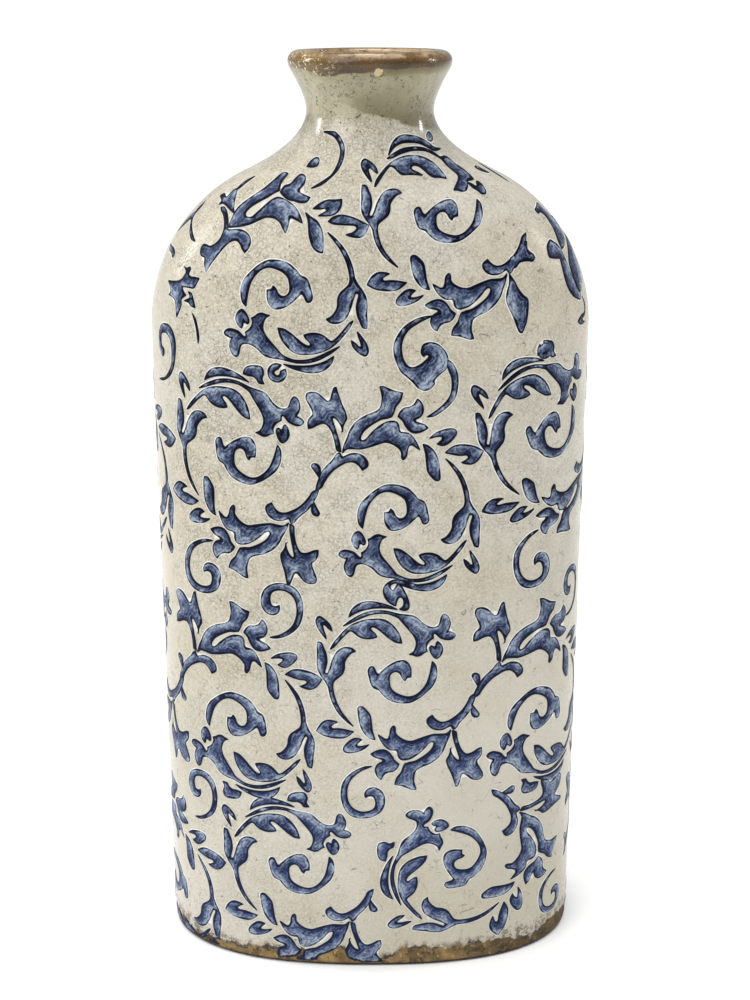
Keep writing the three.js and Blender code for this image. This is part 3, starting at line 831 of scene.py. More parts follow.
BACK = {
    "shoulder": [
        (SCROLL, 27, 294, 6, 0.95, 0.8),
        (SPRAY, 29, 293, 8, 0.95, 0.87),
        (SCROLL, -35, 271, 186, 1, 0.96),
        (SPRAY, -33.5, 278, 190, 0.88, 0.62),
        (SCROLL, 86, 260, 4, 0.82, 0.8),
        (SCROLL, -74, 262, 2, 0.82, 0.8),
        (CURL, 19, 246, 3, 1, 1),
    ],
    "upper": [
        (without(WHOLE, "hook_stem", "joint_drop"), -92, 191, 184, 0.84, 1),
        (WHOLE, -41, 210, -2, 0.84, 1),
        (without(WHOLE, "top_curl"), 2.3, 190, 184, 0.84, 1),
        (WHOLE, 56, 209, 4, 0.84, 1),
    ],
    "middle": [
        (without(WHOLE, "top_curl"), -87, 124, 4, 0.84, 1),
        (WHOLE, -46, 105, 180, 0.84, 1),
        (without(WHOLE, "top_curl"), 8.5, 123, 4, 0.84, 1),
        (WHOLE, 52, 105, 181, 0.84, 1),
        (CURL, -60, 161, 4, 0.85, 0.9),
        (CURL, -29, 154, 184, 0.85, 0.9),
        (CURL, 38, 161, 4, 0.85, 0.9),
        (CURL, 70, 153, 184, 0.85, 0.9),
    ],
    "lower": [
        (WHOLE, -101, 23, 180, 0.95, 1),
        (without(WHOLE, "top_curl"), -39, 40, 3, 0.95, 1),
        (WHOLE, 10, 22, 180, 0.95, 1),
        (without(WHOLE, "top_curl"), 72, 40, 4, 0.95, 1),
        (CURL, -14, 73, 12, 0.85, 0.85),
    ],
}

OUTLINE_STEP = 0.7
HALO = 0.65  # how far the relief reaches beyond each outline
SPREAD = 0.2  # how far the paint reaches beyond it; the rest is the pale edge
RINGS = (0.45, 1.0)  # rows of points inside the outline, for the painted line
FILL_STEP = 1.5
DECOR_TOP = 322.5
PAINT_OVER_CLAY = 4.5  # the blue runs this far below the glaze edge
LOWEST_PAINT = 2.4
SIDE_REACH = 1.2  # how far either way a point looks to tell which side of its shape it is on
CORNER_LEAVE = 0.6  # share of the chord with which a line leaves a sharp corner


def smooth_outline(points):
    """A closed line through the points, rounded except at the corners."""
    place = np.array([p[:2] for p in points], float)
    corner = [len(p) > 2 for p in points]
    count = len(place)
    line = []
    for i in range(count):
        start, end, after = place[i], place[(i + 1) % count], place[(i + 2) % count]
        chord = end - start
        leave = CORNER_LEAVE * chord if corner[i] else (end - place[i - 1]) / 2
        arrive = CORNER_LEAVE * chord if corner[(i + 1) % count] else (after - start) / 2
        steps = max(2, round(float(np.linalg.norm(chord)) / OUTLINE_STEP))
        t = np.arange(steps)[:, None] / steps
        line.append(
            (2 * t**3 - 3 * t**2 + 1) * start
            + (t**3 - 2 * t**2 + t) * leave
            + (3 * t**2 - 2 * t**3) * end
            + (t**3 - t**2) * arrive
        )
    return np.vstack(line)


def placed(line, along, height, turn, stretch_x, stretch_y):
    """A shape's outline at its place on the wall."""
    c, s = math.cos(math.radians(turn)), math.sin(math.radians(turn))
    x, y = line[:, 0] * stretch_x, line[:, 1] * stretch_y
    return np.c_[along + x * c - y * s, height + x * s + y * c]


def edge_distance(points, line):
    """Distance from each point to a closed line."""
    start, end = line, np.roll(line, -1, axis=0)
    chord = end - start
    size = np.maximum((chord**2).sum(1), 1e-12)
    to_start = points[:, None] - start
    t = np.clip((to_start * chord).sum(2) / size, 0, 1)
    return np.sqrt(((to_start - t[..., None] * chord) ** 2).sum(2).min(1))


def is_inside(points, line):
    x, y = points[:, 0, None], points[:, 1, None]
    ax, ay = line.T
    bx, by = np.roll(line, -1, axis=0).T
    crosses = (ay > y) != (by > y)
    slope = np.where(by == ay, 1, by - ay)
    left = x < (bx - ax) * (y - ay) / slope + ax
    return (crosses & left).sum(1) % 2 == 1


def inside_distance(points, line):
    """Distance inside a closed line, negative outside it."""
    edge = edge_distance(points, line)
    return np.where(is_inside(points, line), edge, -edge)


def far_side(points, line, heart):
    """From -1 at the edge that faces the heart of the motif to 1 at the edge away from it."""
    away = points - heart
    away /= np.maximum(np.linalg.norm(away, axis=1, keepdims=True), 1e-9)
    inner = inside_distance(points - SIDE_REACH * away, line)
    outer = inside_distance(points + SIDE_REACH * away, line)
    return (inner - outer) / (2 * SIDE_REACH)


def inward_of(line):
    """Unit vectors from each point of a closed line towards its inside."""
    ahead = np.roll(line, -1, axis=0) - np.roll(line, 1, axis=0)
    ahead /= np.maximum(np.linalg.norm(ahead, axis=1, keepdims=True), 1e-9)
    following = np.roll(line, -1, axis=0)
    area = (line[:, 0] * following[:, 1] - line[:, 1] * following[:, 0]).sum()
    return np.c_[-ahead[:, 1], ahead[:, 0]] * np.sign(area)


def fill_points(line):
    """Points round and inside an outline: rows that follow it, and a triangular grid."""
    inward = inward_of(line)
    around = line - inward * HALO
    found = [around[edge_distance(around, line) > 0.9 * HALO]]
    for ring in RINGS:
        points = line + inward * ring
        points = points[is_inside(points, line)]
        if len(points):
            found.append(points[edge_distance(points, line) > 0.9 * ring])
    low, high = line.min(0), line.max(0)
    rows = np.arange(low[1], high[1], FILL_STEP * 0.87)
    for k, row in enumerate(rows):
        across = np.arange(low[0] + (k % 2) * FILL_STEP / 2, high[0], FILL_STEP)
        points = np.c_[across, np.full_like(across, row)]
        points = points[is_inside(points, line)]
        if len(points):
            found.append(points[edge_distance(points, line) > RINGS[-1] + 0.35])
    return np.vstack(found)


def relief(line, heart, turned_about):
    """A thin closed solid on the wall: the painted shape with its pale edge.

    Gives its points, its faces, and the numbers that its paint follows.
    """
    everything = np.vstack([line, fill_points(line)])
    count = len(line)
    edges = [(i, (i + 1) % count) for i in range(count)]
    flat, _, triangles, _, _, _ = delaunay_2d_cdt([Vector(p) for p in everything], edges, [], 0, 1e-5, False)
    flat = np.array([tuple(p) for p in flat])
    triangles = np.array(triangles)
    edge = edge_distance(flat, line)
    edge[edge < 1e-4] = 0
    edge = np.where(is_inside(flat, line) | (edge == 0), edge, -edge)
    middle_inside = is_inside(flat[triangles].mean(1), line)
    spans = np.stack([flat[triangles[:, k]] - flat[triangles[:, k - 1]] for k in range(3)])
    short = np.linalg.norm(spans, axis=2).max(0) < 3 * OUTLINE_STEP
    beside = short & (edge[triangles].min(1) > -1.05 * HALO)
    triangles = triangles[middle_inside | beside]
    if not len(triangles):
        return None
    a, b, c = (flat[triangles[:, k]] for k in range(3))
    facing = (b - a)[:, 0] * (c - a)[:, 1] - (b - a)[:, 1] * (c - a)[:, 0]
    triangles = triangles[np.abs(facing) > 1e-6]
    facing = facing[np.abs(facing) > 1e-6]
    triangles = np.where((facing < 0)[:, None], triangles[:, ::-1], triangles)
    used, renamed = np.unique(triangles, return_inverse=True)
    flat, edge, triangles = flat[used], edge[used], renamed.reshape(-1, 3)
    sides = np.vstack([triangles[:, [0, 1]], triangles[:, [1, 2]], triangles[:, [2, 0]]])
    known = set(map(tuple, sides.tolist()))
    rim = [s for s in sorted(known) if (s[1], s[0]) not in known]
    angle = angle_at(flat[:, 0], flat[:, 1]) + turned_about
    way = outside.way_at(flat[:, 1])
    dome = np.sin(np.clip((edge + HALO) / (RINGS[-1] + HALO), 0, 1) * math.pi / 2)
    points = np.vstack([
        skin(outside, angle, way, RELIEF * (0.12 + 0.88 * dome)),
        skin(outside, angle, way, -RELIEF * 1.5),
    ])
    below = len(flat)
    walls = [(s[1], s[0], s[0] + below, s[1] + below) for s in rim]
    faces = triangles.tolist() + (triangles[:, ::-1] + below).tolist() + walls
    return points, faces, {
        "edge_distance": np.r_[edge, np.full(below, -HALO)],
        "far_side": np.tile(far_side(flat, line, heart), 2),
        "cream_height": np.tile(flat[:, 1] - glaze_edge(along_body(angle)), 2),
    }


def make_decoration(name, motifs, turned_about, material):
    """One piece with the reliefs of a row of motifs."""
    points, faces, values = [], [], []
    for shapes, *place in motifs:
        for corners in shapes.values():
            line = placed(smooth_outline(corners), *place)
            beyond = line[:, 0] + (0 if turned_about == 0 else HALF_GIRTH)
            edge = glaze_edge((beyond + HALF_GIRTH) % (2 * HALF_GIRTH) - HALF_GIRTH)
            floor = np.maximum(edge - PAINT_OVER_CLAY, LOWEST_PAINT)
            line[:, 1] = np.clip(line[:, 1], floor, DECOR_TOP)
            solid = relief(line, np.array(place[:2]), turned_about)
            if solid is None:
                continue
            shift = sum(len(p) for p in points)
            points.append(solid[0])
            faces += [[v + shift for v in face] for face in solid[1]]
            values.append(solid[2])
    made = mesh_object(name, np.vstack(points), faces, material)
    for key in values[0]:
        add_value(made, key, np.concatenate([value[key] for value in values]))
    return made


# ---------------------------------------------------------------------------------------------------------
# Materials.


def srgb(red, green, blue):
    """A colour from 0-255 screen values, as Blender's linear one."""
    def linear(v):
        v /= 255
        return v / 12.92 if v <= 0.04045 else ((v + 0.055) / 1.055) ** 2.4

    return (linear(red), linear(green), linear(blue), 1)


class Finish:
    """A material's node graph, with short names for the nodes that the finishes use."""

    def __init__(self, name):
        self.material = bpy.data.materials.new(name)
        self.material.use_nodes = True
        self.nodes = self.material.node_tree.nodes
        self.links = self.material.node_tree.links
        self.shader = self.nodes["Principled BSDF"]
        self.place = self.node("ShaderNodeTexCoord").outputs["Object"]

    def node(self, kind, inputs=(), **settings):
        made = self.nodes.new(kind)
        for key, value in settings.items():
            setattr(made, key, value)
        for key, value in dict(inputs).items():
            self.feed(made.inputs[key], value)
        return made

    def feed(self, socket, value):
        if isinstance(value, bpy.types.NodeSocket):
            self.links.new(value, socket)
        else:
            socket.default_value = value

    def value(self, name):
        """A number kept on the mesh."""
        return self.node("ShaderNodeAttribute", attribute_name=name).outputs["Fac"]

    def noise(self, size, detail=2, rough=0.5, place=None, warp=0):
        """Smooth noise with features of about `size` millimetres."""
        inputs = {
            "Vector": place or self.place, "Scale": 1 / (size * MM), "Detail": detail,
            "Roughness": rough, "Distortion": warp,
        }
        return self.node("ShaderNodeTexNoise", inputs).outputs["Fac"]

    def slanted(self, stretch):
        """The place, turned to a diagonal of the front and stretched along it."""
        inputs = {0: self.place, 2: (0, math.radians(42), 0), 3: (1, 1, stretch)}
        return self.node("ShaderNodeMapping", inputs, vector_type="TEXTURE").outputs[0]

    def warped(self, size, amount):
        """The place, pushed about by up to `amount` millimetres."""
        inputs = {"Vector": self.place, "Scale": 0.3 / (size * MM), "Detail": 2}
        noise = self.node("ShaderNodeTexNoise", inputs)
        inputs = {0: noise.outputs["Color"], 1: (0.5,) * 3}
        push = self.node("ShaderNodeVectorMath", inputs, operation="SUBTRACT")
        inputs = {0: push.outputs[0], 1: (2 * amount * MM,) * 3, 2: self.place}
        return self.node("ShaderNodeVectorMath", inputs, operation="MULTIPLY_ADD").outputs[0]

    def cells(self, size, feature="F1", place=None):
        inputs = {"Vector": place or self.place, "Scale": 1 / (size * MM)}
        made = self.node("ShaderNodeTexVoronoi", inputs, feature=feature)
        return made.outputs["Distance"]

    def calc(self, kind, a, b=0.0, c=0.0):
        return self.node("ShaderNodeMath", {0: a, 1: b, 2: c}, operation=kind).outputs[0]

    def times(self, a, b):
        return self.calc("MULTIPLY", a, b)

    def band(self, value, low, high, start=0.0, end=1.0):
        """Runs smoothly from start to end as the value goes from low to high."""
        inputs = {"Value": value, "From Min": low, "From Max": high, "To Min": start, "To Max": end}
        return self.node("ShaderNodeMapRange", inputs, interpolation_type="SMOOTHSTEP").outputs["Result"]

    def mix(self, share, first, second):
        """First colour at share 0, and second at 1."""
        inputs = {0: share, 6: first, 7: second}
        return self.node("ShaderNodeMix", inputs, data_type="RGBA").outputs[2]

    def blend(self, share, first, second):
        """The same for numbers."""
        return self.node("ShaderNodeMix", {0: share, 2: first, 3: second}, data_type="FLOAT").outputs[0]

    def axis(self, index):
        return self.node("ShaderNodeSeparateXYZ", {0: self.place}).outputs[index]

    def bump(self, height, strength, distance, under=None):
        inputs = {"Height": height, "Strength": strength, "Distance": distance * MM}
        if under:
            inputs["Normal"] = under
        return self.node("ShaderNodeBump", inputs).outputs["Normal"]


def hairlines(finish, size, width, warp, keep):
    """Thin curved lines where noise passes its middle value, kept only in patches."""
    noise = finish.noise(size, 1.5, 0.5, warp=warp)
    away = finish.calc("ABSOLUTE", finish.calc("SUBTRACT", noise, 0.5))
    line = finish.band(away, 0, width, 1, 0)
    patch = finish.band(finish.noise(size * 0.9, 1, 0.5, warp=0.5), keep, keep + 0.07)
    return finish.times(line, patch)


def dots(finish, size, radius, share):
    """Small round specks, about one to a cell of `size` where a slow noise allows it."""
    near = finish.band(finish.cells(size), radius * 0.6, radius, 1, 0)
    some = finish.band(finish.noise(size * 2.2, 1), share, share + 0.05)
    return finish.times(near, some)


def cream_colour(finish):
    """Aged cream glaze: warm clouds, grain, fine crackle, longer hairlines, iron specks and an olive neck."""
    x, z = finish.axis(0), finish.axis(2)
    clouds = finish.noise(48, 3, 0.6, warp=0.5)
    left = finish.band(x, 60 * MM, -45 * MM)
    high = finish.band(z, 60 * MM, 220 * MM)
    aged = finish.calc("MULTIPLY_ADD", left, 0.45, finish.times(high, 0.55))
    aged = finish.times(aged, finish.band(x, -80 * MM, -64 * MM, 0.25, 1))
    tone = finish.band(finish.noise(70, 2), 0.35, 0.65)
    colour = finish.mix(tone, srgb(186, 181, 168), srgb(177, 172, 157))
    stain = finish.band(finish.calc("MULTIPLY_ADD", aged, 0.12, clouds), 0.5, 0.72)
    colour = finish.mix(finish.times(stain, 0.45), colour, srgb(172, 160, 134))
    grain = finish.noise(0.9, 3, 0.75)
    deep = finish.calc("MULTIPLY_ADD", aged, 0.42, 0.08)
    light = finish.times(finish.band(grain, 0.5, 0.36), deep)
    colour = finish.mix(light, colour, srgb(212, 210, 202))
    dark = finish.times(finish.band(grain, 0.5, 0.68), deep)
    colour = finish.mix(dark, colour, srgb(122, 115, 97))
    place = finish.warped(1.5, 1.2)
    shards = finish.band(finish.cells(1.5, "DISTANCE_TO_EDGE", place), 0.03, 0.12, 1, 0)
    patches = finish.band(finish.noise(9, 2), 0.44, 0.56)
    shards = finish.times(finish.times(shards, patches), aged)
    wide = hairlines(finish, 6.5, 0.014, 1.2, 0.53)
    crackle = finish.calc("MAXIMUM", finish.times(shards, 0.6), wide)
    colour = finish.mix(finish.times(crackle, 0.7), colour, srgb(78, 70, 56))
    specks = finish.calc("MAXIMUM", dots(finish, 2.6, 0.13, 0.5), dots(finish, 7, 0.06, 0.42))
    specks = finish.times(specks, finish.calc("MULTIPLY_ADD", aged, 0.75, 0.15))
    colour = finish.mix(specks, colour, srgb(44, 36, 28))
    return olive_neck(finish, colour, clouds), crackle


def olive_neck(finish, colour, clouds):
    """The glaze runs olive on the neck, with painted shade at its two sides and in a patch with a slanted
    lower edge.
    """
    x, z = finish.axis(0), finish.axis(2)
    height = finish.calc("MULTIPLY_ADD", clouds, 9 * MM, z)
    neck = finish.band(height, 327 * MM, 337 * MM)
    mottle = finish.band(finish.noise(7, 3, 0.6), 0.38, 0.62)
    olive = finish.mix(mottle, srgb(158, 152, 118), srgb(138, 131, 98))
    colour = finish.mix(finish.times(neck, 0.75), colour, olive)
    # Painted shade: a darker olive patch on the right of the neck, with a slanted lower edge.
    waver = finish.calc("MULTIPLY_ADD", finish.noise(7, 3, 0.6), 4 * MM, -2 * MM)
    slant = finish.calc("MULTIPLY_ADD", x, 0.31, finish.calc("ADD", waver, z))
    painted_shade_patch = finish.band(slant, 328.2 * MM, 329.4 * MM)
    painted_shade_patch = finish.times(painted_shade_patch, finish.band(x, -16 * MM, 3 * MM))
    painted_shade_patch = finish.times(painted_shade_patch, finish.band(x, 27 * MM, 17 * MM, 0.35, 1))
    painted_shade_patch = finish.times(painted_shade_patch, finish.band(slant, 343 * MM, 329 * MM, 0.3, 1))
    colour = finish.mix(finish.times(painted_shade_patch, 0.8), colour, srgb(94, 86, 50))
    # Painted shade at the two sides of the neck's root, where it turns away from the front.
    outward = finish.calc("ADD", finish.calc("ABSOLUTE", x), 0.35 * WAIST_Z * MM)
    outward = finish.calc("MULTIPLY_ADD", z, -0.35, outward)
    sides = finish.band(outward, 18 * MM, 23.5 * MM)
    sides = finish.times(sides, finish.band(z, 317 * MM, 327 * MM))
    colour = finish.mix(finish.times(sides, 0.5), colour, srgb(104, 97, 62))
    marks = finish.calc("MAXIMUM", hairlines(finish, 3.2, 0.035, 1.4, 0.48), dots(finish, 3.0, 0.17, 0.48))
    marks = finish.times(marks, finish.band(z, 318 * MM, 326 * MM, 0, 0.85))
    return finish.mix(marks, colour, srgb(52, 44, 26))


def foot_ends(finish):
    """How near a place is to the two ends of the foot, where the firing burnt it."""
    away = finish.calc("ABSOLUTE", finish.calc("SUBTRACT", finish.axis(0), -10 * MM))
    return finish.band(away, 30 * MM, 74 * MM)


def clay_colour(finish):
    """Bare golden clay with brown and near-black burn marks, and a painted contact shadow along the bottom
    where it stands.
    """
    tone = finish.band(finish.noise(9, 3, 0.6), 0.35, 0.65)
    colour = finish.mix(tone, srgb(146, 120, 76), srgb(96, 76, 48))
    light = finish.band(finish.noise(2.6, 3, 0.6), 0.56, 0.7)
    colour = finish.mix(finish.times(light, 0.65), colour, srgb(188, 164, 116))
    dark = finish.band(finish.noise(3.4, 5, 0.8), 0.52, 0.6)
    colour = finish.mix(finish.times(dark, 0.8), colour, srgb(42, 35, 29))
    colour = finish.mix(finish.times(foot_ends(finish), 0.6), colour, srgb(46, 37, 27))
    # Painted contact shadow: the lowest 2 mm of the clay are darkened to near black.
    painted_contact_shadow = finish.band(finish.axis(2), 0.8 * MM, 2.2 * MM, 1, 0)
    return finish.mix(painted_contact_shadow, colour, srgb(9, 8, 7))


def brown_colour(finish):
    """Brown lip glaze with dark specks: lighter up the roll and darker under it as painted light and shade,
    painted shade on its crest and ends, a painted highlight in pale patches below the crest, and painted
    sparkle highlights as golden flecks on the left.
    """
    x, z = finish.axis(0), finish.axis(2)
    tone = finish.band(finish.noise(9, 3, 0.6), 0.38, 0.66)
    colour = finish.mix(tone, srgb(86, 61, 18), srgb(58, 39, 8))
    # Painted shade under the roll of the lip.
    under = finish.band(z, 345.5 * MM, 343 * MM)
    colour = finish.mix(finish.times(under, 0.6), colour, srgb(50, 34, 8))
    # Painted light: the upper part of the roll is lighter brown.
    top = finish.band(z, 345.5 * MM, 348.5 * MM)
    colour = finish.mix(finish.times(top, 0.5), colour, srgb(122, 88, 42))
    # Painted highlight: pale patches along the top of the roll, stronger towards the right.
    painted_highlight = finish.band(z, 347.2 * MM, 348.6 * MM)
    painted_highlight = finish.times(painted_highlight, finish.band(x, -22 * MM, 8 * MM, 0.5, 1))
    painted_highlight = finish.times(painted_highlight, finish.band(finish.noise(8, 4, 0.6), 0.42, 0.56))
    colour = finish.mix(finish.times(painted_highlight, 0.55), colour, srgb(206, 178, 134))
    # Painted shade along the crest of the roll and at its two sides, where the lip turns away from the front.
    crest = finish.band(z, 349.0 * MM, 349.7 * MM)
    ends = finish.band(finish.calc("ABSOLUTE", x), 27.5 * MM, 29.8 * MM, 0, 0.8)
    crest = finish.calc("MAXIMUM", crest, ends)
    colour = finish.mix(finish.times(crest, 0.8), colour, srgb(62, 45, 24))
    # Painted highlights: pale golden sparkle flecks and a lighter golden tint on the left of the lip.
    painted_sparkle = finish.band(finish.noise(1.1, 3, 0.7), 0.56, 0.64)
    left = finish.band(x, -8 * MM, -22 * MM, 0.06, 0.95)
    colour = finish.mix(finish.times(left, 0.35), colour, srgb(128, 106, 58))
    colour = finish.mix(finish.times(painted_sparkle, left), colour, srgb(236, 216, 166))
    dark = finish.band(finish.noise(0.9, 3, 0.7), 0.56, 0.66)
    return finish.mix(finish.times(dark, 0.8), colour, srgb(30, 20, 12))


def pot_material(name, foot, lip):
    """Cream glaze, over bare clay at the foot and under brown glaze at the lip."""
    finish = Finish(name)
    colour, crackle = cream_colour(finish)
    rough = finish.band(finish.noise(14, 3), 0.3, 0.7, 0.2, 0.36)
    rough = finish.times(rough, finish.band(finish.axis(2), 312 * MM, 324 * MM, 1, 0.6))
    height = finish.times(crackle, -0.5)
    if foot:
        wander = finish.calc("MULTIPLY_ADD", finish.noise(2.6, 5, 0.75), 6.0, -3.0)
        above = finish.calc("ADD", finish.value("cream_height"), wander)
        ends = foot_ends(finish)
        bare = finish.band(above, -0.15, 0.2, 1, 0)
        near = finish.band(finish.calc("ABSOLUTE", above), 0.25, 1.0, 1, 0)
        marks = finish.times(near, finish.band(finish.noise(6, 2), 0.42, 0.52))
        burnt = finish.band(finish.noise(3.4, 5, 0.8), 0.48, 0.56)
        reach = finish.band(finish.calc("MULTIPLY_ADD", ends, -4.0, above), 3.0, 0.0)
        burnt = finish.times(burnt, reach)
        brown = finish.band(above, 3.2, 0.2)
        seep = finish.times(brown, finish.band(finish.noise(5, 3), 0.45, 0.62))
        colour = finish.mix(finish.times(seep, 0.55), colour, srgb(140, 118, 80))
        colour = finish.mix(finish.times(burnt, 0.75), colour, srgb(74, 58, 36))
        colour = finish.mix(bare, colour, clay_colour(finish))
        colour = finish.mix(finish.times(marks, 0.85), colour, srgb(34, 34, 46))
        rough = finish.blend(bare, rough, 0.82)
        height = finish.blend(bare, height, finish.noise(1.4, 4, 0.65))
    if lip:
        wander = finish.calc("MULTIPLY_ADD", finish.noise(2.5, 2, 0.5), 1.0, -0.5)
        above = finish.calc("ADD", finish.value("brown_height"), wander)
        # An olive band of glaze under the brown edge, with painted shade on it: darker next to the lip and
        # stronger on the right.
        right = finish.band(finish.axis(0), -1 * MM, 5 * MM)
        rim = finish.band(above, -2.6, -1.8)
        olive_band_and_shade = finish.times(rim, finish.calc("MULTIPLY_ADD", right, 0.65, 0.2))
        olive = finish.mix(finish.band(above, -2.6, 0.0), srgb(132, 122, 80), srgb(88, 76, 42))
        colour = finish.mix(olive_band_and_shade, colour, olive)
        brown = finish.band(above, -0.1, 0.45)
        colour = finish.mix(brown, colour, brown_colour(finish))
        chip = finish.calc("MULTIPLY_ADD", finish.noise(1.4, 3, 0.6), 4.0, finish.value("chip_distance"))
        colour = finish.mix(finish.band(chip, 2.15, 1.8), colour, srgb(84, 68, 46))
        colour = finish.mix(finish.band(chip, 1.75, 1.45), colour, srgb(184, 164, 126))
        rough = finish.blend(brown, rough, 0.17)
    finish.feed(finish.shader.inputs["Base Color"], colour)
    finish.feed(finish.shader.inputs["Roughness"], rough)
    finish.feed(finish.shader.inputs["Specular IOR Level"], 0.5 if lip else 0.35)
    under = finish.bump(finish.noise(9, 2), 0.35, 0.25)
    finish.feed(finish.shader.inputs["Normal"], finish.bump(height, 0.6, 0.12, under))
    return finish.material


def cobalt_material():
    """Cobalt under glaze, brushed dark towards the heart of each scroll and pale away from it.

    A navy line comes and goes inside each pale edge, which is a painted highlight on the raised rim, and the
    edge is darkened where it lies on bare clay.
    """
    finish = Finish("cobalt_blue")
    distance = finish.value("edge_distance")
    stipple = finish.noise(1.0, 4, 0.8)
    drift = finish.calc("MULTIPLY_ADD", finish.noise(5, 2), 4.4, -2.2)
    side = finish.calc("ADD", finish.value("far_side"), drift)
    wander = finish.calc("MULTIPLY_ADD", finish.noise(3.0, 2), 1.6, -0.8)
    inside = finish.calc("ADD", finish.calc("ADD", distance, SPREAD), wander)
    inside = finish.calc("MULTIPLY_ADD", side, 0.3, inside)
    low = finish.band(finish.axis(2), 200 * MM, 20 * MM)
    dark_blue = finish.mix(low, srgb(26, 37, 69), srgb(40, 52, 93))
    mid_blue = finish.mix(low, srgb(68, 80, 106), srgb(82, 95, 128))
    wash = finish.mix(finish.band(side, -1.1, 0.1), dark_blue, mid_blue)
    wash = finish.mix(finish.band(side, 0.0, 1.2), wash, srgb(148, 160, 177))
    hatch = finish.noise(0.8, 3, 0.7, place=finish.slanted(3.5))
    turns = finish.calc("MULTIPLY_ADD", finish.noise(3.0, 3, 0.6), 17.0, finish.times(distance, 4.4))
    strokes = finish.calc("SINE", turns)
    faint = finish.band(finish.noise(4, 2), 0.4, 0.56)
    pale = finish.times(finish.band(strokes, -0.1, -0.9), faint)
    wash = finish.mix(finish.times(pale, 0.28), wash, srgb(152, 163, 182))
    wash = finish.mix(finish.band(hatch, 0.5, 0.36, 0, 0.35), wash, srgb(128, 141, 164))
    wash = finish.mix(finish.band(hatch, 0.5, 0.62, 0, 0.55), wash, srgb(20, 27, 54))
    dark = finish.times(finish.band(strokes, 0.2, 0.9), 0.5)
    wash = finish.mix(dark, wash, srgb(20, 27, 56))
    wash = finish.mix(finish.band(stipple, 0.52, 0.66, 0, 0.5), wash, srgb(14, 20, 42))
    line = finish.mix(finish.band(stipple, 0.35, 0.65), srgb(2, 3, 14), srgb(12, 17, 38))
    line = finish.mix(finish.times(low, 0.5), line, srgb(34, 44, 74))
    colour = finish.mix(finish.band(inside, 0.45, 0.95), line, wash)
    # Painted highlight: the pale edge round each shape stands for light on its raised rim, paler on the side
    # away from the heart of the scroll.
    rim = finish.mix(finish.band(side, -0.2, 1.0), srgb(186, 182, 168), srgb(216, 216, 210))
    rim = finish.mix(finish.band(finish.value("cream_height"), 0.8, -0.4), rim, srgb(52, 50, 54))
    edge = finish.band(distance, -0.4, -0.2, 1, 0)
    colour = finish.mix(edge, colour, rim)
    finish.feed(finish.shader.inputs["Base Color"], colour)
    finish.feed(finish.shader.inputs["Roughness"], finish.band(stipple, 0.3, 0.7, 0.3, 0.45))
    finish.feed(finish.shader.inputs["Specular IOR Level"], 0.06)
    carved = finish.calc("SUBTRACT", stipple, dark)
    finish.feed(finish.shader.inputs["Normal"], finish.bump(carved, 0.5, 0.12))
    return finish.material


# ---------------------------------------------------------------------------------------------------------
# Stage, light and camera.


FLOOR = 200.0  # half the width of the floor, in metres
LENS = 57.76
CAMERA_PLACE = (0.00184, -0.5999, 0.3693)
CAMERA_TILT = 72.443  # degrees from straight down
# Soft boxes: name, place and size in metres, and power.
SOFT_LIGHTS = [
    ("key_left", (-0.9, -0.9, 0.9), (0.8, 0.8), 4.5),
    ("top_strip", (-0.1, 0.3, 1.4), (0.6, 0.12), 2.8),
    ("left_strip", (-1.02, 0.18, 0.69), (0.08, 0.4), 3.0),
    ("right_strip", (1.02, 0.18, 0.69), (0.06, 0.3), 2.0),
]


def make_floor():
    mesh = bpy.data.meshes.new("floor")
    corners = [(-FLOOR, -FLOOR, 0), (FLOOR, -FLOOR, 0), (FLOOR, FLOOR, 0), (-FLOOR, FLOOR, 0)]
    mesh.from_pydata(corners, [], [(0, 1, 2, 3)])
    finish = Finish("pale_floor")
    finish.feed(finish.shader.inputs["Base Color"], (0.96, 0.96, 0.955, 1))
    finish.feed(finish.shader.inputs["Roughness"], 0.9)
    mesh.materials.append(finish.material)
    floor = bpy.data.objects.new("floor", mesh)
    bpy.context.scene.collection.objects.link(floor)


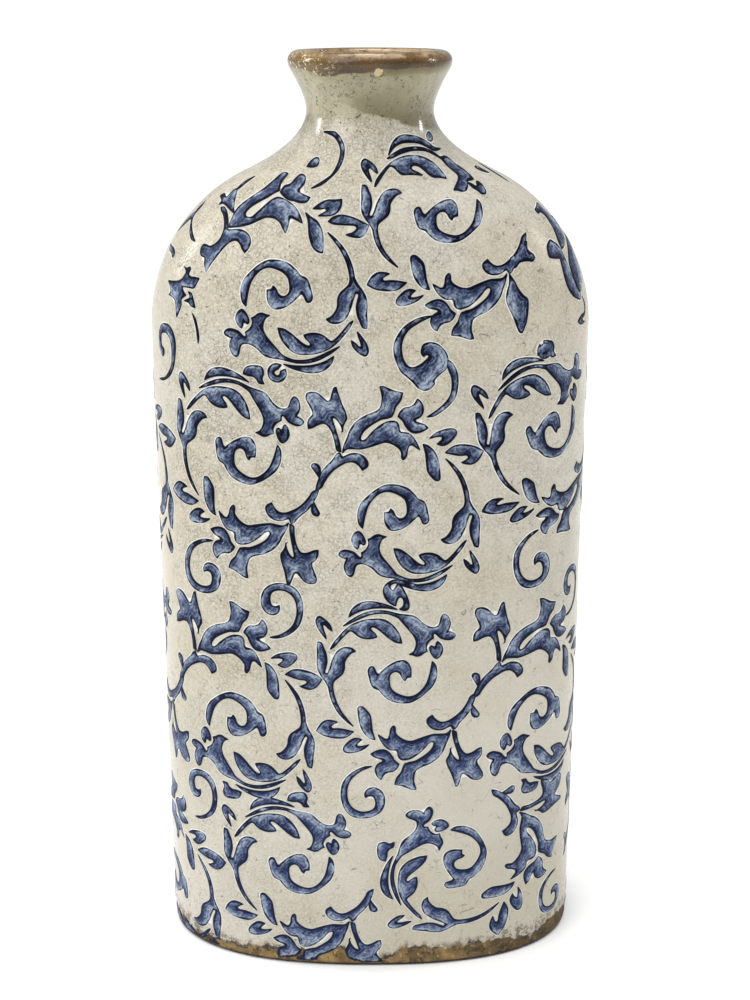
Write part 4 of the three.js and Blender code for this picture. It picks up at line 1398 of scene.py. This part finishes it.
def soft_light(name, place, size, power):
    """A soft box, wide and high as given, that faces the shoulder of the vase."""
    light = bpy.data.lights.new(name, "AREA")
    light.shape = "RECTANGLE"
    light.size, light.size_y = size
    light.energy = power
    made = bpy.data.objects.new(name, light)
    made.location = place
    aim = Vector((0, 0, SHOULDER_Z * MM))
    made.rotation_euler = (aim - Vector(place)).to_track_quat("-Z", "Y").to_euler()
    bpy.context.scene.collection.objects.link(made)


def overhead_light():
    """A wide even light from above, which lights the whole floor alike."""
    light = bpy.data.lights.new("overhead", "SUN")
    light.energy, light.angle = 2.16, math.radians(80)
    made = bpy.data.objects.new("overhead", light)
    made.rotation_euler = (math.radians(14), math.radians(-10), 0)
    bpy.context.scene.collection.objects.link(made)


def make_world():
    world = bpy.data.worlds.new("white_studio")
    world.use_nodes = True
    world.node_tree.nodes["Background"].inputs["Color"].default_value = (1, 1, 1, 1)
    world.node_tree.nodes["Background"].inputs["Strength"].default_value = 0.545
    bpy.context.scene.world = world


def make_camera():
    data = bpy.data.cameras.new("camera")
    data.lens = LENS
    data.sensor_width = 36
    data.clip_end = 1000
    camera = bpy.data.objects.new("camera", data)
    camera.location = CAMERA_PLACE
    camera.rotation_euler = (math.radians(CAMERA_TILT), 0, 0)
    bpy.context.scene.collection.objects.link(camera)
    bpy.context.scene.camera = camera


# ---------------------------------------------------------------------------------------------------------
# The vase.

columns = round_angles()
quarter = COLUMNS // 4
back_angles = columns[: 2 * quarter + 1]
front_angles = np.r_[columns[2 * quarter:], columns[0] + 2 * math.pi]

foot_material = pot_material("bare_clay", foot=True, lip=False)
shell_material = pot_material("cream_glaze", foot=True, lip=False)
lip_material = pot_material("brown_glaze", foot=False, lip=True)
make_foot_ring(columns, foot_material)
make_base_slab(columns, foot_material)
make_half_shell("glazed_back_wall", "back_half_shell", back_angles, shell_material)
make_half_shell("glazed_front_wall", "front_half_shell", front_angles, shell_material)
make_collar(columns, lip_material)
make_lip(columns, lip_material)

cobalt = cobalt_material()
for row, motifs in FRONT.items():
    make_decoration(f"{row}_scrolls_front", motifs, 0, cobalt)
for row, motifs in BACK.items():
    make_decoration(f"{row}_scrolls_back", motifs, math.pi, cobalt)

make_floor()
make_world()
overhead_light()
for soft_box in SOFT_LIGHTS:
    soft_light(*soft_box)
make_camera()
bpy.context.scene.view_settings.view_transform = "Standard"
